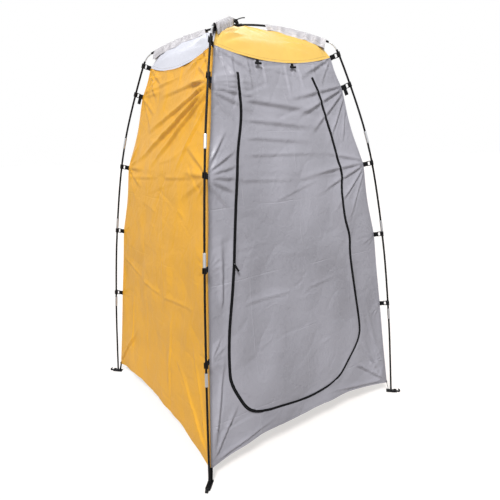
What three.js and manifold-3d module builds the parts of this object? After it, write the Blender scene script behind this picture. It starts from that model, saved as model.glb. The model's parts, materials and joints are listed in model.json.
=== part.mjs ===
// A square, tapering privacy shower tent: two crossing arches of jointed fibreglass rods stand on four feet, and
// a cloth cabin hangs inside them on short webbing straps. Millimetres, +Z up, the origin on the ground under
// the crown. The door wall faces -Y.

import * as THREE from "three";
import { mergeVertices } from "three/addons/utils/BufferGeometryUtils.js";
import Module from "manifold-3d";

const wasm = await Module();
wasm.setup();

// ---- driving dimensions ----------------------------------------------------------------------------------

// One half arch in its own upright plane, as [distance from the middle, height], from the foot to the shoulder
// and on over the roof. CROWN_RUN carries it level into the middle, as [distance, drop below the crown].
const HALF_ARCH = [
  [807, 8],
  [771, 457],
  [713, 924],
  [624, 1357],
  [490, 1722],
  [474, 1755],
  [454, 1779],
  [407, 1803],
  [250, 1855],
];
const CROWN_RUN = [
  [125, 9],
  [62, 2.2],
  [30, 0.1],
  [0, 0],
];
const LOWER_CROWN = 1890;
const UPPER_CROWN = 1903.5;

const ROD_RADIUS = 4.75;
const FERRULE_RADIUS = 6.2;
const FERRULE_LENGTH = 56;
const FERRULE_HEIGHTS = [457, 924, 1357];
const SOCKET_RADIUS = 5.2;
const LEG_TOP_HEIGHT = 1755;
const ROOF_ROD_START = 437;
const ELBOW_RADIUS = 3;
const ELBOW_GRIP = 22;
const PIN_SOCKET_RADIUS = 3.5;
const ROD_SIDES = 10;
const GAP = 0.4;

const STRAP_HEIGHTS = [515, 885, 1237, 1600, 1738];
const LOOP_STRAP = 3;
const STRAP_REACH = 42;
const HEM_HEIGHT = 55;
const HEM_REACH = 22;
const HEM_ARCH = 55;
const CLOTH = 1.2;
const TOP_EDGE_SAG = 44;

const DOOR_MIDDLE = -32;
const DOOR_TOP = 1625;
const DOOR_BOTTOM = 205;
const DOOR_HALF_TOP = 195;
const DOOR_HALF_LOW = 392;
const DOOR_BOW = 10;
const DOOR_CORNER = 200;
const DOOR_FOLDS = [1280, 950, 655, 410];
const ZIP_WIDTH = 7;

const SLIDER_HEIGHT = 880;
const SLIDER_SIZE = [7, 3.6, 16];
const PULL_SIZE = [6, 1.6, 36];
const PULL_PIVOT = -6.4;
const TOGGLE_PLACES = [-118, 67];
const TOGGLE_LENGTH = 30;

const SLEEVE_ENDS = [402, 156];
const RIDGE_DROP = 18.5;
const SHOULDER_DROP = 34;

const CORNERS = { front_left: 225, front_right: 315, back_right: 45, back_left: 135 };
const WALLS = { front: 0, right: 90, back: 180, left: 270 };

// ---- materials -------------------------------------------------------------------------------------------

function finish(color, roughness, metalness = 0) {
  return () => new THREE.MeshStandardMaterial({ color, roughness, metalness });
}

const blackRod = finish(0x1a1a1c, 0.4);
const steel = finish(0xc2c4c8, 0.3, 1);
const webbing = finish(0x17171a, 0.85);
const plastic = finish(0x1c1c1f, 0.5);
const yellowCloth = finish(0xf0b450, 0.8);
const greyCloth = finish(0xb4b2be, 0.75);
const paleCloth = finish(0xe6e6ee, 0.8);
const sleeveCloth = finish(0xcfcad0, 0.8);

// ---- tools -----------------------------------------------------------------------------------------------

function solid(geometry) {
  const bare = geometry.clone();
  bare.deleteAttribute("normal");
  bare.deleteAttribute("uv");
  const merged = mergeVertices(bare);
  const mesh = new wasm.Mesh({
    numProp: 3,
    vertProperties: Float32Array.from(merged.attributes.position.array),
    triVerts: Uint32Array.from(merged.index.array),
  });
  return new wasm.Manifold(mesh);
}

function join(...solids) {
  return solids.reduce((all, next) => all.add(next));
}

function piece(name, shape, material) {
  const found = shape.getMesh();
  const geometry = new THREE.BufferGeometry();
  geometry.setAttribute("position", new THREE.BufferAttribute(found.vertProperties, 3));
  geometry.setIndex(new THREE.BufferAttribute(found.triVerts, 1));
  geometry.computeVertexNormals();
  const mesh = new THREE.Mesh(geometry, material());
  mesh.name = name;
  return mesh;
}

// A closed outline with the given number of equal sides.
function ring(radius, sides = ROD_SIDES) {
  const corners = [];
  for (let i = 0; i < sides; i += 1) {
    const angle = (2 * Math.PI * i) / sides;
    corners.push(new THREE.Vector2(radius * Math.cos(angle), radius * Math.sin(angle)));
  }
  return new THREE.Shape(corners);
}

function box(width, depth, height, x, y, z) {
  return solid(new THREE.BoxGeometry(width, depth, height).translate(x, y, z));
}

// The stretch of a path between two distances along it, running straight on past either end of the path.
class Stretch extends THREE.Curve {
  constructor(path, from, to) {
    super();
    this.path = path;
    this.from = from;
    this.to = to;
  }

  getPoint(t, target = new THREE.Vector3()) {
    const length = this.path.getLength();
    const wanted = THREE.MathUtils.lerp(this.from, this.to, t);
    const distance = THREE.MathUtils.clamp(wanted, 0, length);
    this.path.getPointAt(distance / length, target);
    return target.addScaledVector(this.path.getTangentAt(distance / length), wanted - distance);
  }
}

function sweep(outline, path, from, to, steps) {
  const extrudePath = new Stretch(path, from, to);
  return solid(new THREE.ExtrudeGeometry(outline, { extrudePath, steps }));
}

// ---- the arch paths --------------------------------------------------------------------------------------

function archPath(crown) {
  const points = HALF_ARCH.map(([reach, height]) => new THREE.Vector3(reach, 0, height));
  for (const [reach, drop] of CROWN_RUN) points.push(new THREE.Vector3(reach, 0, crown - drop));
  const path = new THREE.CatmullRomCurve3(points, false, "centripetal");
  path.arcLengthDivisions = 600;
  return path;
}

// How far along a path a test first comes true, by halving.
function distanceWhere(path, test) {
  let before = 0;
  let after = path.getLength();
  for (let i = 0; i < 30; i += 1) {
    const middle = (before + after) / 2;
    if (test(path.getPointAt(middle / path.getLength()))) after = middle;
    else before = middle;
  }
  return after;
}

const lowerPath = archPath(LOWER_CROWN);
const upperPath = archPath(UPPER_CROWN);

function pathOf(corner) {
  return corner === "front_left" || corner === "back_right" ? upperPath : lowerPath;
}

function atHeight(path, height) {
  return distanceWhere(path, (point) => point.z >= height);
}

function atReach(path, reach) {
  return distanceWhere(path, (point) => point.x <= reach);
}

// How far a pole leans in from upright at a height, in radians, and the canopy corner straight across from it.
function poleLean(path, height) {
  const tangent = path.getTangentAt(atHeight(path, height) / path.getLength());
  return Math.atan2(tangent.x, tangent.z);
}

function cornerAcross(height, reach) {
  const pole = lowerPath.getPointAt(atHeight(lowerPath, height) / lowerPath.getLength());
  const lean = poleLean(lowerPath, height);
  return [pole.x - reach * Math.cos(lean), pole.z + reach * Math.sin(lean)];
}

function poleHeight(reach) {
  return lowerPath.getPointAt(atReach(lowerPath, reach) / lowerPath.getLength()).z;
}

// ---- the cabin's shape -----------------------------------------------------------------------------------

// The canopy corner as [distance from the middle, height], pulled towards the pole at each strap.
const CORNER_LINE = [
  cornerAcross(HEM_HEIGHT, HEM_REACH),
  ...STRAP_HEIGHTS.map((height) => cornerAcross(height, STRAP_REACH)),
];
const HEM = CORNER_LINE[0][1];
const CABIN_TOP = CORNER_LINE[CORNER_LINE.length - 1][1];

// Half the cabin's width at a height.
function halfWidth(height) {
  let i = 1;
  while (i < CORNER_LINE.length - 1 && height > CORNER_LINE[i][1]) i += 1;
  const [r0, z0] = CORNER_LINE[i - 1];
  const [r1, z1] = CORNER_LINE[i];
  return (r0 + ((r1 - r0) * (height - z0)) / (z1 - z0)) / Math.SQRT2;
}

// The height of a wall's sagging top edge and arched hem, at a place from -1 to 1 across it.
function topEdge(place) {
  return CABIN_TOP - TOP_EDGE_SAG * (1 - place * place);
}

function hemEdge(place) {
  return HEM + HEM_ARCH * (1 - place * place);
}

// A sheet of cloth that bends with the cabin's outer profile, as wide as asked.
function profileSheet(width) {
  const heights = [0, ...CORNER_LINE.slice(1, -1).map((knot) => knot[1]), CABIN_TOP + 60];
  const outer = heights.map((height) => new THREE.Vector2(halfWidth(height), height));
  const inner = heights.map((height) => new THREE.Vector2(halfWidth(height) - CLOTH, height)).reverse();
  const geometry = new THREE.ExtrudeGeometry(new THREE.Shape([...outer, ...inner]), {
    depth: width,
    bevelEnabled: false,
  });
  const across = new THREE.Vector3(-1, 0, 0);
  geometry.applyMatrix4(
    new THREE.Matrix4().makeBasis(new THREE.Vector3(0, -1, 0), new THREE.Vector3(0, 0, 1), across),
  );
  return solid(geometry.translate(width / 2, 0, 0));
}

// The prism that an outline drawn on the wall, as [across, height], sweeps from the middle out through the wall.
function cutter(outline) {
  return solid(new THREE.ExtrudeGeometry(outline, { depth: 700, bevelEnabled: false }).rotateX(Math.PI / 2));
}

function wallOutline(inset) {
  const steps = 10;
  const points = [];
  for (let i = 0; i <= steps; i += 1) {
    const place = (2 * i) / steps - 1;
    points.push(new THREE.Vector2(place * (halfWidth(HEM) - inset), hemEdge(place)));
  }
  for (const [reach, height] of CORNER_LINE.slice(1, -1)) {
    points.push(new THREE.Vector2(reach / Math.SQRT2 - inset, height));
  }
  for (let i = 0; i <= steps; i += 1) {
    const place = 1 - (2 * i) / steps;
    points.push(new THREE.Vector2(place * (halfWidth(CABIN_TOP) - inset), topEdge(place)));
  }
  for (const [reach, height] of CORNER_LINE.slice(1, -1).reverse()) {
    points.push(new THREE.Vector2(inset - reach / Math.SQRT2, height));
  }
  return new THREE.Shape(points);
}

// Half the door's width at a height above its rounded corners. Its sides bow out a little.
const DOOR_TURN = DOOR_BOTTOM + DOOR_CORNER;

function doorHalf(height) {
  const share = (DOOR_TOP - height) / (DOOR_TOP - DOOR_TURN);
  return THREE.MathUtils.lerp(DOOR_HALF_TOP, DOOR_HALF_LOW, share) + 4 * DOOR_BOW * share * (1 - share);
}

// The door's outline, made larger all round by a margin, except at its top, which is given.
function doorOutline(margin, top) {
  const bottom = DOOR_BOTTOM - margin;
  const high = doorHalf(top) + margin;
  const low = doorHalf(DOOR_TURN) + margin;
  const bow = (high + low) / 2 + 2 * DOOR_BOW;
  const waist = (top + DOOR_TURN) / 2;
  const foot = low - DOOR_CORNER;
  const outline = new THREE.Shape();
  outline.moveTo(DOOR_MIDDLE - high, top);
  outline.quadraticCurveTo(DOOR_MIDDLE - bow, waist, DOOR_MIDDLE - low, DOOR_TURN);
  outline.quadraticCurveTo(DOOR_MIDDLE - low - DOOR_BOW, bottom, DOOR_MIDDLE - foot, bottom);
  outline.lineTo(DOOR_MIDDLE + foot, bottom);
  outline.quadraticCurveTo(DOOR_MIDDLE + low + DOOR_BOW, bottom, DOOR_MIDDLE + low, DOOR_TURN);
  outline.quadraticCurveTo(DOOR_MIDDLE + bow, waist, DOOR_MIDDLE + high, top);
  return outline;
}

// ---- poles -----------------------------------------------------------------------------------------------

// Enough steps that a stretch of an arch turns by about two degrees in each.
function stepsFor(path, from, to) {
  const start = path.getTangentAt(Math.max(from, 0) / path.getLength());
  const end = path.getTangentAt(Math.min(to, path.getLength()) / path.getLength());
  return Math.max(3, Math.ceil(THREE.MathUtils.radToDeg(start.angleTo(end)) / 2));
}

// A rod between two distances along an arch, with a blind socket bored into whichever ends are asked.
function rod(path, from, to, sockets = {}) {
  let body = sweep(ring(ROD_RADIUS), path, from, to, stepsFor(path, from, to));
  const bore = (a, b) => sweep(ring(PIN_SOCKET_RADIUS, 8), path, a, b, 2);
  if (sockets.start) body = body.subtract(bore(from - 1, from + sockets.start));
  if (sockets.end) body = body.subtract(bore(to - sockets.end, to + 1));
  return body;
}

// A steel sleeve glued over a rod's end, with a socket for the next rod.
function withFerrule(body, path, end) {
  const half = FERRULE_LENGTH / 2;
  const tube = sweep(ring(FERRULE_RADIUS), path, end - half, end + half, 2);
  const socket = sweep(ring(SOCKET_RADIUS), path, end + GAP, end + half + 1, 2);
  return body.add(tube).subtract(socket);
}

function legRods(corner) {
  const path = pathOf(corner);
  const joints = FERRULE_HEIGHTS.map((height) => atHeight(path, height));
  const ends = [0, ...joints, atHeight(path, LEG_TOP_HEIGHT)];
  return ends.slice(1).map((end, i) => {
    const start = i === 0 ? ends[0] : ends[i] + 2 * GAP;
    const sockets = { start: i === 0 ? ELBOW_GRIP : 0, end: i === 3 ? ELBOW_GRIP + 2 : 0 };
    let body = rod(path, start, end, sockets);
    if (i < 3) body = withFerrule(body, path, end);
    return piece(`leg_rod_${corner}_${i + 1}`, body, blackRod);
  });
}

function elbow(corner) {
  const path = pathOf(corner);
  const from = atHeight(path, LEG_TOP_HEIGHT) - ELBOW_GRIP;
  const to = atReach(path, ROOF_ROD_START) + ELBOW_GRIP;
  return piece(`shoulder_elbow_${corner}`, sweep(ring(ELBOW_RADIUS, 8), path, from, to, 10), steel);
}

// Each arch has two roof rods that meet inside a ferrule at the crown: one carries it, the other slides in.
function roofRod(corner) {
  const path = pathOf(corner);
  const start = atReach(path, ROOF_ROD_START);
  const crown = path.getLength();
  const carriesFerrule = corner.startsWith("front");
  const half = FERRULE_LENGTH / 2;
  let body = rod(path, start, crown - GAP, { start: ELBOW_GRIP + 2 });
  if (carriesFerrule) {
    const height = path.getPointAt(1).z;
    const tube = new THREE.ExtrudeGeometry(ring(FERRULE_RADIUS), { depth: FERRULE_LENGTH, bevelEnabled: false });
    const hole = new THREE.ExtrudeGeometry(ring(SOCKET_RADIUS), { depth: half + 1, bevelEnabled: false });
    const along = new THREE.Matrix4().makeRotationY(Math.PI / 2);
    tube.applyMatrix4(along).translate(-half, 0, height);
    hole.applyMatrix4(along).translate(-half - 1, 0, height);
    body = body.add(solid(tube)).subtract(solid(hole));
  }
  return piece(`roof_rod_${corner}`, body, blackRod);
}

// The tie around the crossing rods: a loop of tape, seen edge-on from the front, with its knot on top.
function crownTie() {
  const middle = (LOWER_CROWN + UPPER_CROWN) / 2;
  const loop = ring(18, 20);
  loop.holes.push(ring(14.2, 20));
  const tape = new THREE.ExtrudeGeometry(loop, { depth: 4, bevelEnabled: false });
  tape.rotateX(Math.PI / 2).translate(0, 2, middle);
  const knot = new THREE.SphereGeometry(6, 10, 8).translate(0, 0, middle + 19);
  return piece("crown_tie", solid(tape).add(solid(knot)), webbing);
}

// ---- feet ------------------------------------------------------------------------------------------------

const FOOT_REACH = HALF_ARCH[0][0];
const HOOK_PIVOT = [FOOT_REACH + 26, 7];

function acrossTube(radius, width, reach, height, sides = 10) {
  const tube = new THREE.ExtrudeGeometry(ring(radius, sides), { depth: width, bevelEnabled: false });
  return solid(tube.rotateX(Math.PI / 2).translate(reach, width / 2, height));
}

// The foot: a plate on the ground, a pin up into the lowest rod, and two lugs with the ground hook's pin.
function foot(corner) {
  const path = pathOf(corner);
  const [reach, height] = HOOK_PIVOT;
  const plate = box(44, 22, 7, FOOT_REACH - 3, 0, 3.5);
  const lugs = [-8, 8].map((y) => box(14, 4, 11, reach - 4, y, 5.5));
  const link = box(8, 20, 7, reach - 10.2, 0, 3.5);
  const hingePin = acrossTube(1.8, 18, reach, height, 8);
  const pin = sweep(ring(ELBOW_RADIUS, 8), path, 0, ELBOW_GRIP - 2, 2);
  const neck = solid(new THREE.CylinderGeometry(ELBOW_RADIUS, ELBOW_RADIUS, 4, 8).rotateX(Math.PI / 2));
  const body = join(plate, ...lugs, link, hingePin, neck.translate(FOOT_REACH, 0, 6.5), pin);
  return piece(`foot_${corner}`, body, plastic);
}

// The ground hook: an eye on the hinge pin and a flat tongue that curls up at its tip.
function groundHook(corner) {
  const [reach, height] = HOOK_PIVOT;
  const outline = new THREE.Shape();
  outline.moveTo(0, -5);
  outline.lineTo(14, -5);
  outline.absarc(15, 2, 7, -Math.PI / 2, Math.PI / 2, false);
  outline.lineTo(11, 9);
  outline.lineTo(11, 5.6);
  outline.lineTo(15, 5.4);
  outline.absarc(15, 2, 3.4, Math.PI / 2, -Math.PI / 2, true);
  outline.lineTo(0, -1.2);
  const tongue = new THREE.ExtrudeGeometry(outline, { depth: 11, bevelEnabled: false, curveSegments: 6 });
  tongue.rotateX(Math.PI / 2).translate(reach, 5.5, height);
  const eye = acrossTube(5, 11, reach, height, 12);
  const bore = acrossTube(2.4, 20, reach, height, 8);
  return piece(`ground_hook_${corner}`, solid(tongue).add(eye).subtract(bore), plastic);
}

// ---- corner webbing --------------------------------------------------------------------------------------

// One strap seen along the pole: a hook around the rod, and the webbing that runs back to the canopy corner.
function strap(path, height, hangsLoop) {
  const grip = new THREE.Shape();
  const open = 0.9;
  grip.absarc(0, 0, 8.6, open, 2 * Math.PI - open, false);
  grip.absarc(0, 0, ROD_RADIUS + 1.2, 2 * Math.PI - open, open, true);
  const hook = solid(
    new THREE.ExtrudeGeometry(grip, { depth: 13, bevelEnabled: false, curveSegments: 5 }).translate(0, 0, -6.5),
  );
  const window = box(6, 9, 7, -15, 0, 0);
  const plate = box(15, 3.4, 13, -14.2, 0, 0);
  const tab = box(STRAP_REACH - 21.4, 2.4, 22, -(STRAP_REACH + 18.6) / 2, 0, 0);
  const parts = [hook, plate.subtract(window), tab];
  if (hangsLoop) parts.push(box(13, 2.4, 36, 14 - STRAP_REACH, 0, -20));
  const place = path.getPointAt(atHeight(path, height) / path.getLength());
  const lean = THREE.MathUtils.radToDeg(poleLean(path, height));
  return join(...parts).rotate([0, lean, 0]).translate(place.toArray());
}

// The tape sewn down the canopy corner, standing just outside it.
function cornerTape() {
  const line = CORNER_LINE.map(([reach, height]) => new THREE.Vector2(reach, height));
  const near = line.map((point) => new THREE.Vector2(point.x + GAP, point.y));
  const far = line.map((point) => new THREE.Vector2(point.x + GAP + 1.6, point.y)).reverse();
  const tape = new THREE.ExtrudeGeometry(new THREE.Shape([...near, ...far]), { depth: 12, bevelEnabled: false });
  return solid(tape.rotateX(Math.PI / 2).translate(0, 6, 0));
}

function footStrap() {
  const [reach, height] = CORNER_LINE[0];
  const low = [FOOT_REACH - 14, 7 + GAP];
  const outline = new THREE.Shape([
    new THREE.Vector2(reach + GAP, height + 12),
    new THREE.Vector2(reach + GAP, height),
    new THREE.Vector2(low[0] - 1.4, low[1]),
    new THREE.Vector2(low[0] + 1.4, low[1]),
    new THREE.Vector2(reach + GAP + 2.6, height),
    new THREE.Vector2(reach + GAP + 2.6, height + 12),
  ]);
  const strip = new THREE.ExtrudeGeometry(outline, { depth: 18, bevelEnabled: false });
  return solid(strip.rotateX(Math.PI / 2).translate(0, 9, 0));
}

function cornerWebbing(corner) {
  const path = pathOf(corner);
  const straps = STRAP_HEIGHTS.map((height, i) => strap(path, height, i === LOOP_STRAP));
  return piece(`corner_webbing_${corner}`, join(cornerTape(), footStrap(), ...straps), webbing);
}

// ---- cloth -----------------------------------------------------------------------------------------------

function wall(side, material) {
  const between = side === "front" || side === "back";
  let sheet = profileSheet(1300).intersect(cutter(wallOutline(between ? CLOTH + GAP : 0)));
  if (side === "front") {
    sheet = sheet.subtract(cutter(doorOutline(ZIP_WIDTH + 2 * GAP, DOOR_TOP + GAP)));
  }
  return piece(`wall_${side}`, sheet, material);
}

// A roof panel from the crown down to the wall's top edge. The grid of a flat box is laid over the roof's shape.
function roofPanel(side, material) {
  const crownHalf = 3;
  const endReach = CORNER_LINE[CORNER_LINE.length - 1][0];
  const push = halfWidth(topEdge(0)) - halfWidth(CABIN_TOP);
  const geometry = new THREE.BoxGeometry(2, 1, 1, 8, 8, 1);
  const position = geometry.attributes.position;
  for (let i = 0; i < position.count; i += 1) {
    const across = position.getX(i);
    const down = 0.5 - position.getY(i);
    const over = position.getZ(i) + 0.5;
    const reach = THREE.MathUtils.lerp(crownHalf, endReach, down);
    const drop = THREE.MathUtils.lerp(RIDGE_DROP, SHOULDER_DROP, down ** 4);
    const ridge = down > 0.999 ? CABIN_TOP : Math.min(poleHeight(reach), LOWER_CROWN) - drop;
    const hang = (1 - across * across) * down * down;
    const half = reach / Math.SQRT2;
    position.setXYZ(
      i,
      across * (half - GAP),
      -half - push * hang,
      ridge - TOP_EDGE_SAG * hang + GAP + CLOTH * over,
    );
  }
  return piece(`roof_${side}`, solid(geometry), material);
}

// A gathered cloth tunnel around the roof rod, sewn to the ridge below it.
function sleeve(corner) {
  const outline = tunnel(10.5, 9.5);
  outline.holes.push(tunnel(9.3, 8.3));
  const path = pathOf(corner);
  const from = atReach(path, SLEEVE_ENDS[0]);
  const to = atReach(path, SLEEVE_ENDS[1]);
  return piece(`sleeve_${corner}`, sweep(outline, path, from, to, 6), sleeveCloth);
}

// A rounded outline around the rod that hangs lower on the roof side.
function tunnel(half, top) {
  const points = [];
  for (let i = 0; i < 12; i += 1) {
    const angle = (2 * Math.PI * i) / 12;
    const up = Math.sin(angle);
    points.push(new THREE.Vector2(up > 0 ? up * top : up * (half + 6), -half * Math.cos(angle)));
  }
  return new THREE.Shape(points);
}

// ---- door and zip ----------------------------------------------------------------------------------------

function doorSegments() {
  const edges = [DOOR_TOP, ...DOOR_FOLDS, DOOR_BOTTOM - 10];
  const door = profileSheet(1000).intersect(cutter(doorOutline(0, DOOR_TOP)));
  return edges.slice(1).map((low, i) => {
    const height = edges[i] - low - GAP;
    const band = box(1000, 1400, height, 0, 0, low + GAP / 2 + height / 2);
    return piece(`door_fold_${i + 1}`, door.intersect(band), greyCloth);
  });
}

function zipFrame() {
  const around = cutter(doorOutline(ZIP_WIDTH + GAP, DOOR_TOP));
  const within = cutter(doorOutline(GAP, DOOR_TOP + 10));
  return piece("zip_track", profileSheet(1100).intersect(around).subtract(within), plastic);
}

// Where the slider stands on the left run of the zip, and how the zip leans there.
const ZIP_RUN = 300;
const ZIP_LEAN = Math.atan2(
  doorHalf(SLIDER_HEIGHT - ZIP_RUN) - doorHalf(SLIDER_HEIGHT + ZIP_RUN),
  2 * ZIP_RUN,
);
const WALL_LEAN = wallLean(STRAP_HEIGHTS[0], STRAP_HEIGHTS[2]);

// How far the wall leans in from upright between two heights.
function wallLean(low, high) {
  return Math.atan2(halfWidth(low) - halfWidth(high), high - low);
}

function onZip(mesh) {
  mesh.position.set(
    DOOR_MIDDLE - doorHalf(SLIDER_HEIGHT) - GAP - ZIP_WIDTH / 2,
    -halfWidth(SLIDER_HEIGHT) - GAP,
    SLIDER_HEIGHT,
  );
  mesh.rotation.set(-WALL_LEAN, ZIP_LEAN, 0);
  return mesh;
}

function barrel(radius, width, y, sides = 10) {
  return solid(new THREE.CylinderGeometry(radius, radius, width, sides).rotateZ(Math.PI / 2).translate(0, y, 0));
}

// The slider's body lies on the track, with two ears and a cross pin that the pull hangs from.
function zipSlider() {
  const [width, depth, height] = SLIDER_SIZE;
  const base = box(width, depth, height, 0, -depth / 2, 0);
  const ears = [-2.9, 2.9].map((x) => box(1.2, 5, 4, x, -depth - 2, 0));
  return onZip(piece("zip_slider", join(base, ...ears, barrel(1.1, 5.4, PULL_PIVOT, 8)), plastic));
}

// The pull: a flat tab with an eye around the slider's pin.
function zipPull() {
  const [width, depth, length] = PULL_SIZE;
  const tab = box(width, depth, length, 0, PULL_PIVOT, -3 - length / 2);
  const neck = box(4, depth, 4, 0, PULL_PIVOT, -2.4);
  const eye = barrel(2.4, 4, PULL_PIVOT);
  const bore = barrel(1.5, 9, PULL_PIVOT, 8);
  return onZip(piece("zip_pull", join(tab, neck, eye).subtract(bore), webbing));
}

// A toggle on a short tape, hung from the front wall's top edge to hold the rolled-up door.
function toggle(x, i) {
  const top = topEdge(x / halfWidth(CABIN_TOP)) - 4;
  const tape = box(8, 1.4, 16, 0, -2, -8);
  const bar = new THREE.CylinderGeometry(3.2, 3.2, TOGGLE_LENGTH, 10).rotateZ(Math.PI / 2);
  const mesh = piece(`toggle_${i + 1}`, tape.add(solid(bar.translate(0, -4.4, -17))), plastic);
  mesh.position.set(x, -halfWidth(top), top);
  mesh.rotation.x = -wallLean(DOOR_TOP, CABIN_TOP);
  return mesh;
}

// ---- assembly --------------------------------------------------------------------------------------------

const tent = new THREE.Group();

for (const [corner, angle] of Object.entries(CORNERS)) {
  const arm = new THREE.Group();
  arm.rotation.z = THREE.MathUtils.degToRad(angle);
  arm.add(...legRods(corner), elbow(corner), roofRod(corner), sleeve(corner));
  arm.add(foot(corner), groundHook(corner), cornerWebbing(corner));
  tent.add(arm);
}

for (const [side, angle] of Object.entries(WALLS)) {
  const face = new THREE.Group();
  const sideways = side === "left" || side === "right";
  face.rotation.z = THREE.MathUtils.degToRad(angle);
  face.add(wall(side, sideways ? yellowCloth : greyCloth));
  face.add(roofPanel(side, sideways ? paleCloth : yellowCloth));
  tent.add(face);
}

tent.add(...doorSegments(), zipFrame(), zipSlider(), zipPull(), ...TOGGLE_PLACES.map(toggle), crownTie());

export default tent;
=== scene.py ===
# %% [markdown]
# # A privacy shower tent
# The tent is a cloth cabin that hangs on short straps inside two crossing pole arches. Its moving and rigid
# parts were settled in the design, so this lesson loads that design as a fixed frame and works on what the
# eye sees: creased cloth, gathered sleeves, a coil zip, woven straps and round rods.

# %% Load the frame
import json
import math

import bpy
import numpy as np
from mathutils import Matrix, Vector
from mathutils.bvhtree import BVHTree


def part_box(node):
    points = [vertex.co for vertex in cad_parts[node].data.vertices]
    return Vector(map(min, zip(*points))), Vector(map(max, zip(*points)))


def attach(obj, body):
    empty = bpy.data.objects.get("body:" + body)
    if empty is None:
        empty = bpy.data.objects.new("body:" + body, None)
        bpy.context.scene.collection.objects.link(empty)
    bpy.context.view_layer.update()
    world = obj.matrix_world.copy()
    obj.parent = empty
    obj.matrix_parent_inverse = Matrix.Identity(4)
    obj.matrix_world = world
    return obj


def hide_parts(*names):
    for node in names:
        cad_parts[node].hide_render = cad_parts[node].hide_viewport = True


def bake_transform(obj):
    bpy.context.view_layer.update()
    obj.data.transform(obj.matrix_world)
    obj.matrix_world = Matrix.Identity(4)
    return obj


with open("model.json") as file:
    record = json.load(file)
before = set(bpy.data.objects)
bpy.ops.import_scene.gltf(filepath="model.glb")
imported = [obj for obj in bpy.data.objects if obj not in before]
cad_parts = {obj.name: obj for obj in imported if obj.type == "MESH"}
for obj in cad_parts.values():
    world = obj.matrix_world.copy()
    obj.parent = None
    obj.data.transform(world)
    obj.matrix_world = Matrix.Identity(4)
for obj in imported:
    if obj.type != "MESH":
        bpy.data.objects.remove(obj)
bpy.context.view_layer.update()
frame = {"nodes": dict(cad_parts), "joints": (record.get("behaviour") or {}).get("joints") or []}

CORNERS = {"front_left": 225, "front_right": 315, "back_right": 45, "back_left": 135}
WALL_TURN = {"front": 0, "right": 90, "back": 180, "left": 270}

# %% [markdown]
# ## Camera
# The camera stands a little above chest height, close to the front left corner, and looks down slightly, so
# the near pole runs up the picture and both the door wall and the side wall show. It is placed with a turn
# about each axis, because that gives full control of the slight tilt of the horizon.

# %% Camera
CAMERA_PLACE = (-1.250, -1.907, 1.361)
CAMERA_TURN = (75.776, 1.461, -34.585)
LENS = 31.4

camera_data = bpy.data.cameras.new("camera")
camera_data.lens = LENS
camera = bpy.data.objects.new("camera", camera_data)
camera.location = CAMERA_PLACE
camera.rotation_euler = [math.radians(angle) for angle in CAMERA_TURN]
bpy.context.scene.collection.objects.link(camera)
bpy.context.scene.camera = camera
print("camera", LENS, "mm lens at", CAMERA_PLACE)

# %% [markdown]
# ## Working helpers
# Every operator in Blender acts on what is selected, so the first helper clears the selection and picks one
# object. The second bakes an object's place into its mesh, so that each finished piece sits at the origin.
# The third adds a modifier and applies it at once. The others name, join, link, copy and smooth pieces.

# %% Working helpers
def pick(*objects):
    bpy.ops.object.select_all(action="DESELECT")
    for obj in objects:
        obj.select_set(True)
    bpy.context.view_layer.objects.active = objects[0]
    return objects[0]


def settle(obj):
    pick(obj)
    bpy.ops.object.transform_apply(location=True, rotation=True, scale=True)
    return obj


def modify(obj, kind, **settings):
    pick(obj)
    modifier = obj.modifiers.new(kind.lower(), kind)
    for key, value in settings.items():
        setattr(modifier, key, value)
    bpy.ops.object.modifier_apply(modifier=modifier.name)
    return obj


def named(name, material):
    obj = bpy.context.object
    obj.name = obj.data.name = name
    obj.data.materials.clear()
    obj.data.materials.append(material)
    return obj


def join(name, *objects):
    pick(*objects)
    bpy.ops.object.join()
    objects[0].name = objects[0].data.name = name
    return objects[0]


def linked(name, data):
    """A new object in the scene that shows the given mesh, curve or light."""
    obj = bpy.data.objects.new(name, data)
    bpy.context.scene.collection.objects.link(obj)
    return obj


def copy_of(obj, name):
    twin = linked(name, obj.data.copy())
    twin.data.name = name
    return twin


def smooth(obj, angle=35):
    pick(obj)
    bpy.ops.object.shade_smooth_by_angle(angle=math.radians(angle))
    return obj

# %% [markdown]
# ## Materials
# Coated polyester, woven tape, moulded plastic, drawn steel and resin-bound glass rod each need their own
# fine grain. Effects that several finishes share are node groups: a plain weave, a cloudy unevenness, and a
# running stitch beside every sewn edge. A group gives out only heights and masks, and the shader with its
# constant values stays in the material, where each finish sets its own.

# %% Node helpers
def new_group(name, inputs, outputs):
    group = bpy.data.node_groups.new(name, "ShaderNodeTree")
    for label, value in inputs.items():
        socket = group.interface.new_socket(label, in_out="INPUT", socket_type="NodeSocketFloat")
        socket.default_value = value
    for label in outputs:
        group.interface.new_socket(label, in_out="OUTPUT", socket_type="NodeSocketFloat")
    start = group.nodes.new("NodeGroupInput")
    end = group.nodes.new("NodeGroupOutput")
    return group, start, end


def node(tree, kind, **settings):
    made = tree.nodes.new("ShaderNode" + kind)
    for key, value in settings.items():
        setattr(made, key, value)
    return made


def feed(tree, socket, value):
    """Links another node's output to a socket, or sets the socket to a plain value."""
    if isinstance(value, bpy.types.NodeSocket):
        tree.links.new(value, socket)
    else:
        socket.default_value = value


def math_node(tree, operation, *values):
    made = node(tree, "Math", operation=operation)
    for socket, value in zip(made.inputs, values):
        feed(tree, socket, value)
    return made.outputs[0]


def plus(tree, first, second):
    return math_node(tree, "ADD", first, second)


def minus(tree, first, second):
    return math_node(tree, "SUBTRACT", first, second)


def times(tree, first, second):
    return math_node(tree, "MULTIPLY", first, second)


def noise(tree, place, **settings):
    made = node(tree, "TexNoise")
    feed(tree, made.inputs["Vector"], place)
    for label, value in settings.items():
        feed(tree, made.inputs[label], value)
    return made.outputs["Fac"]


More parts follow.
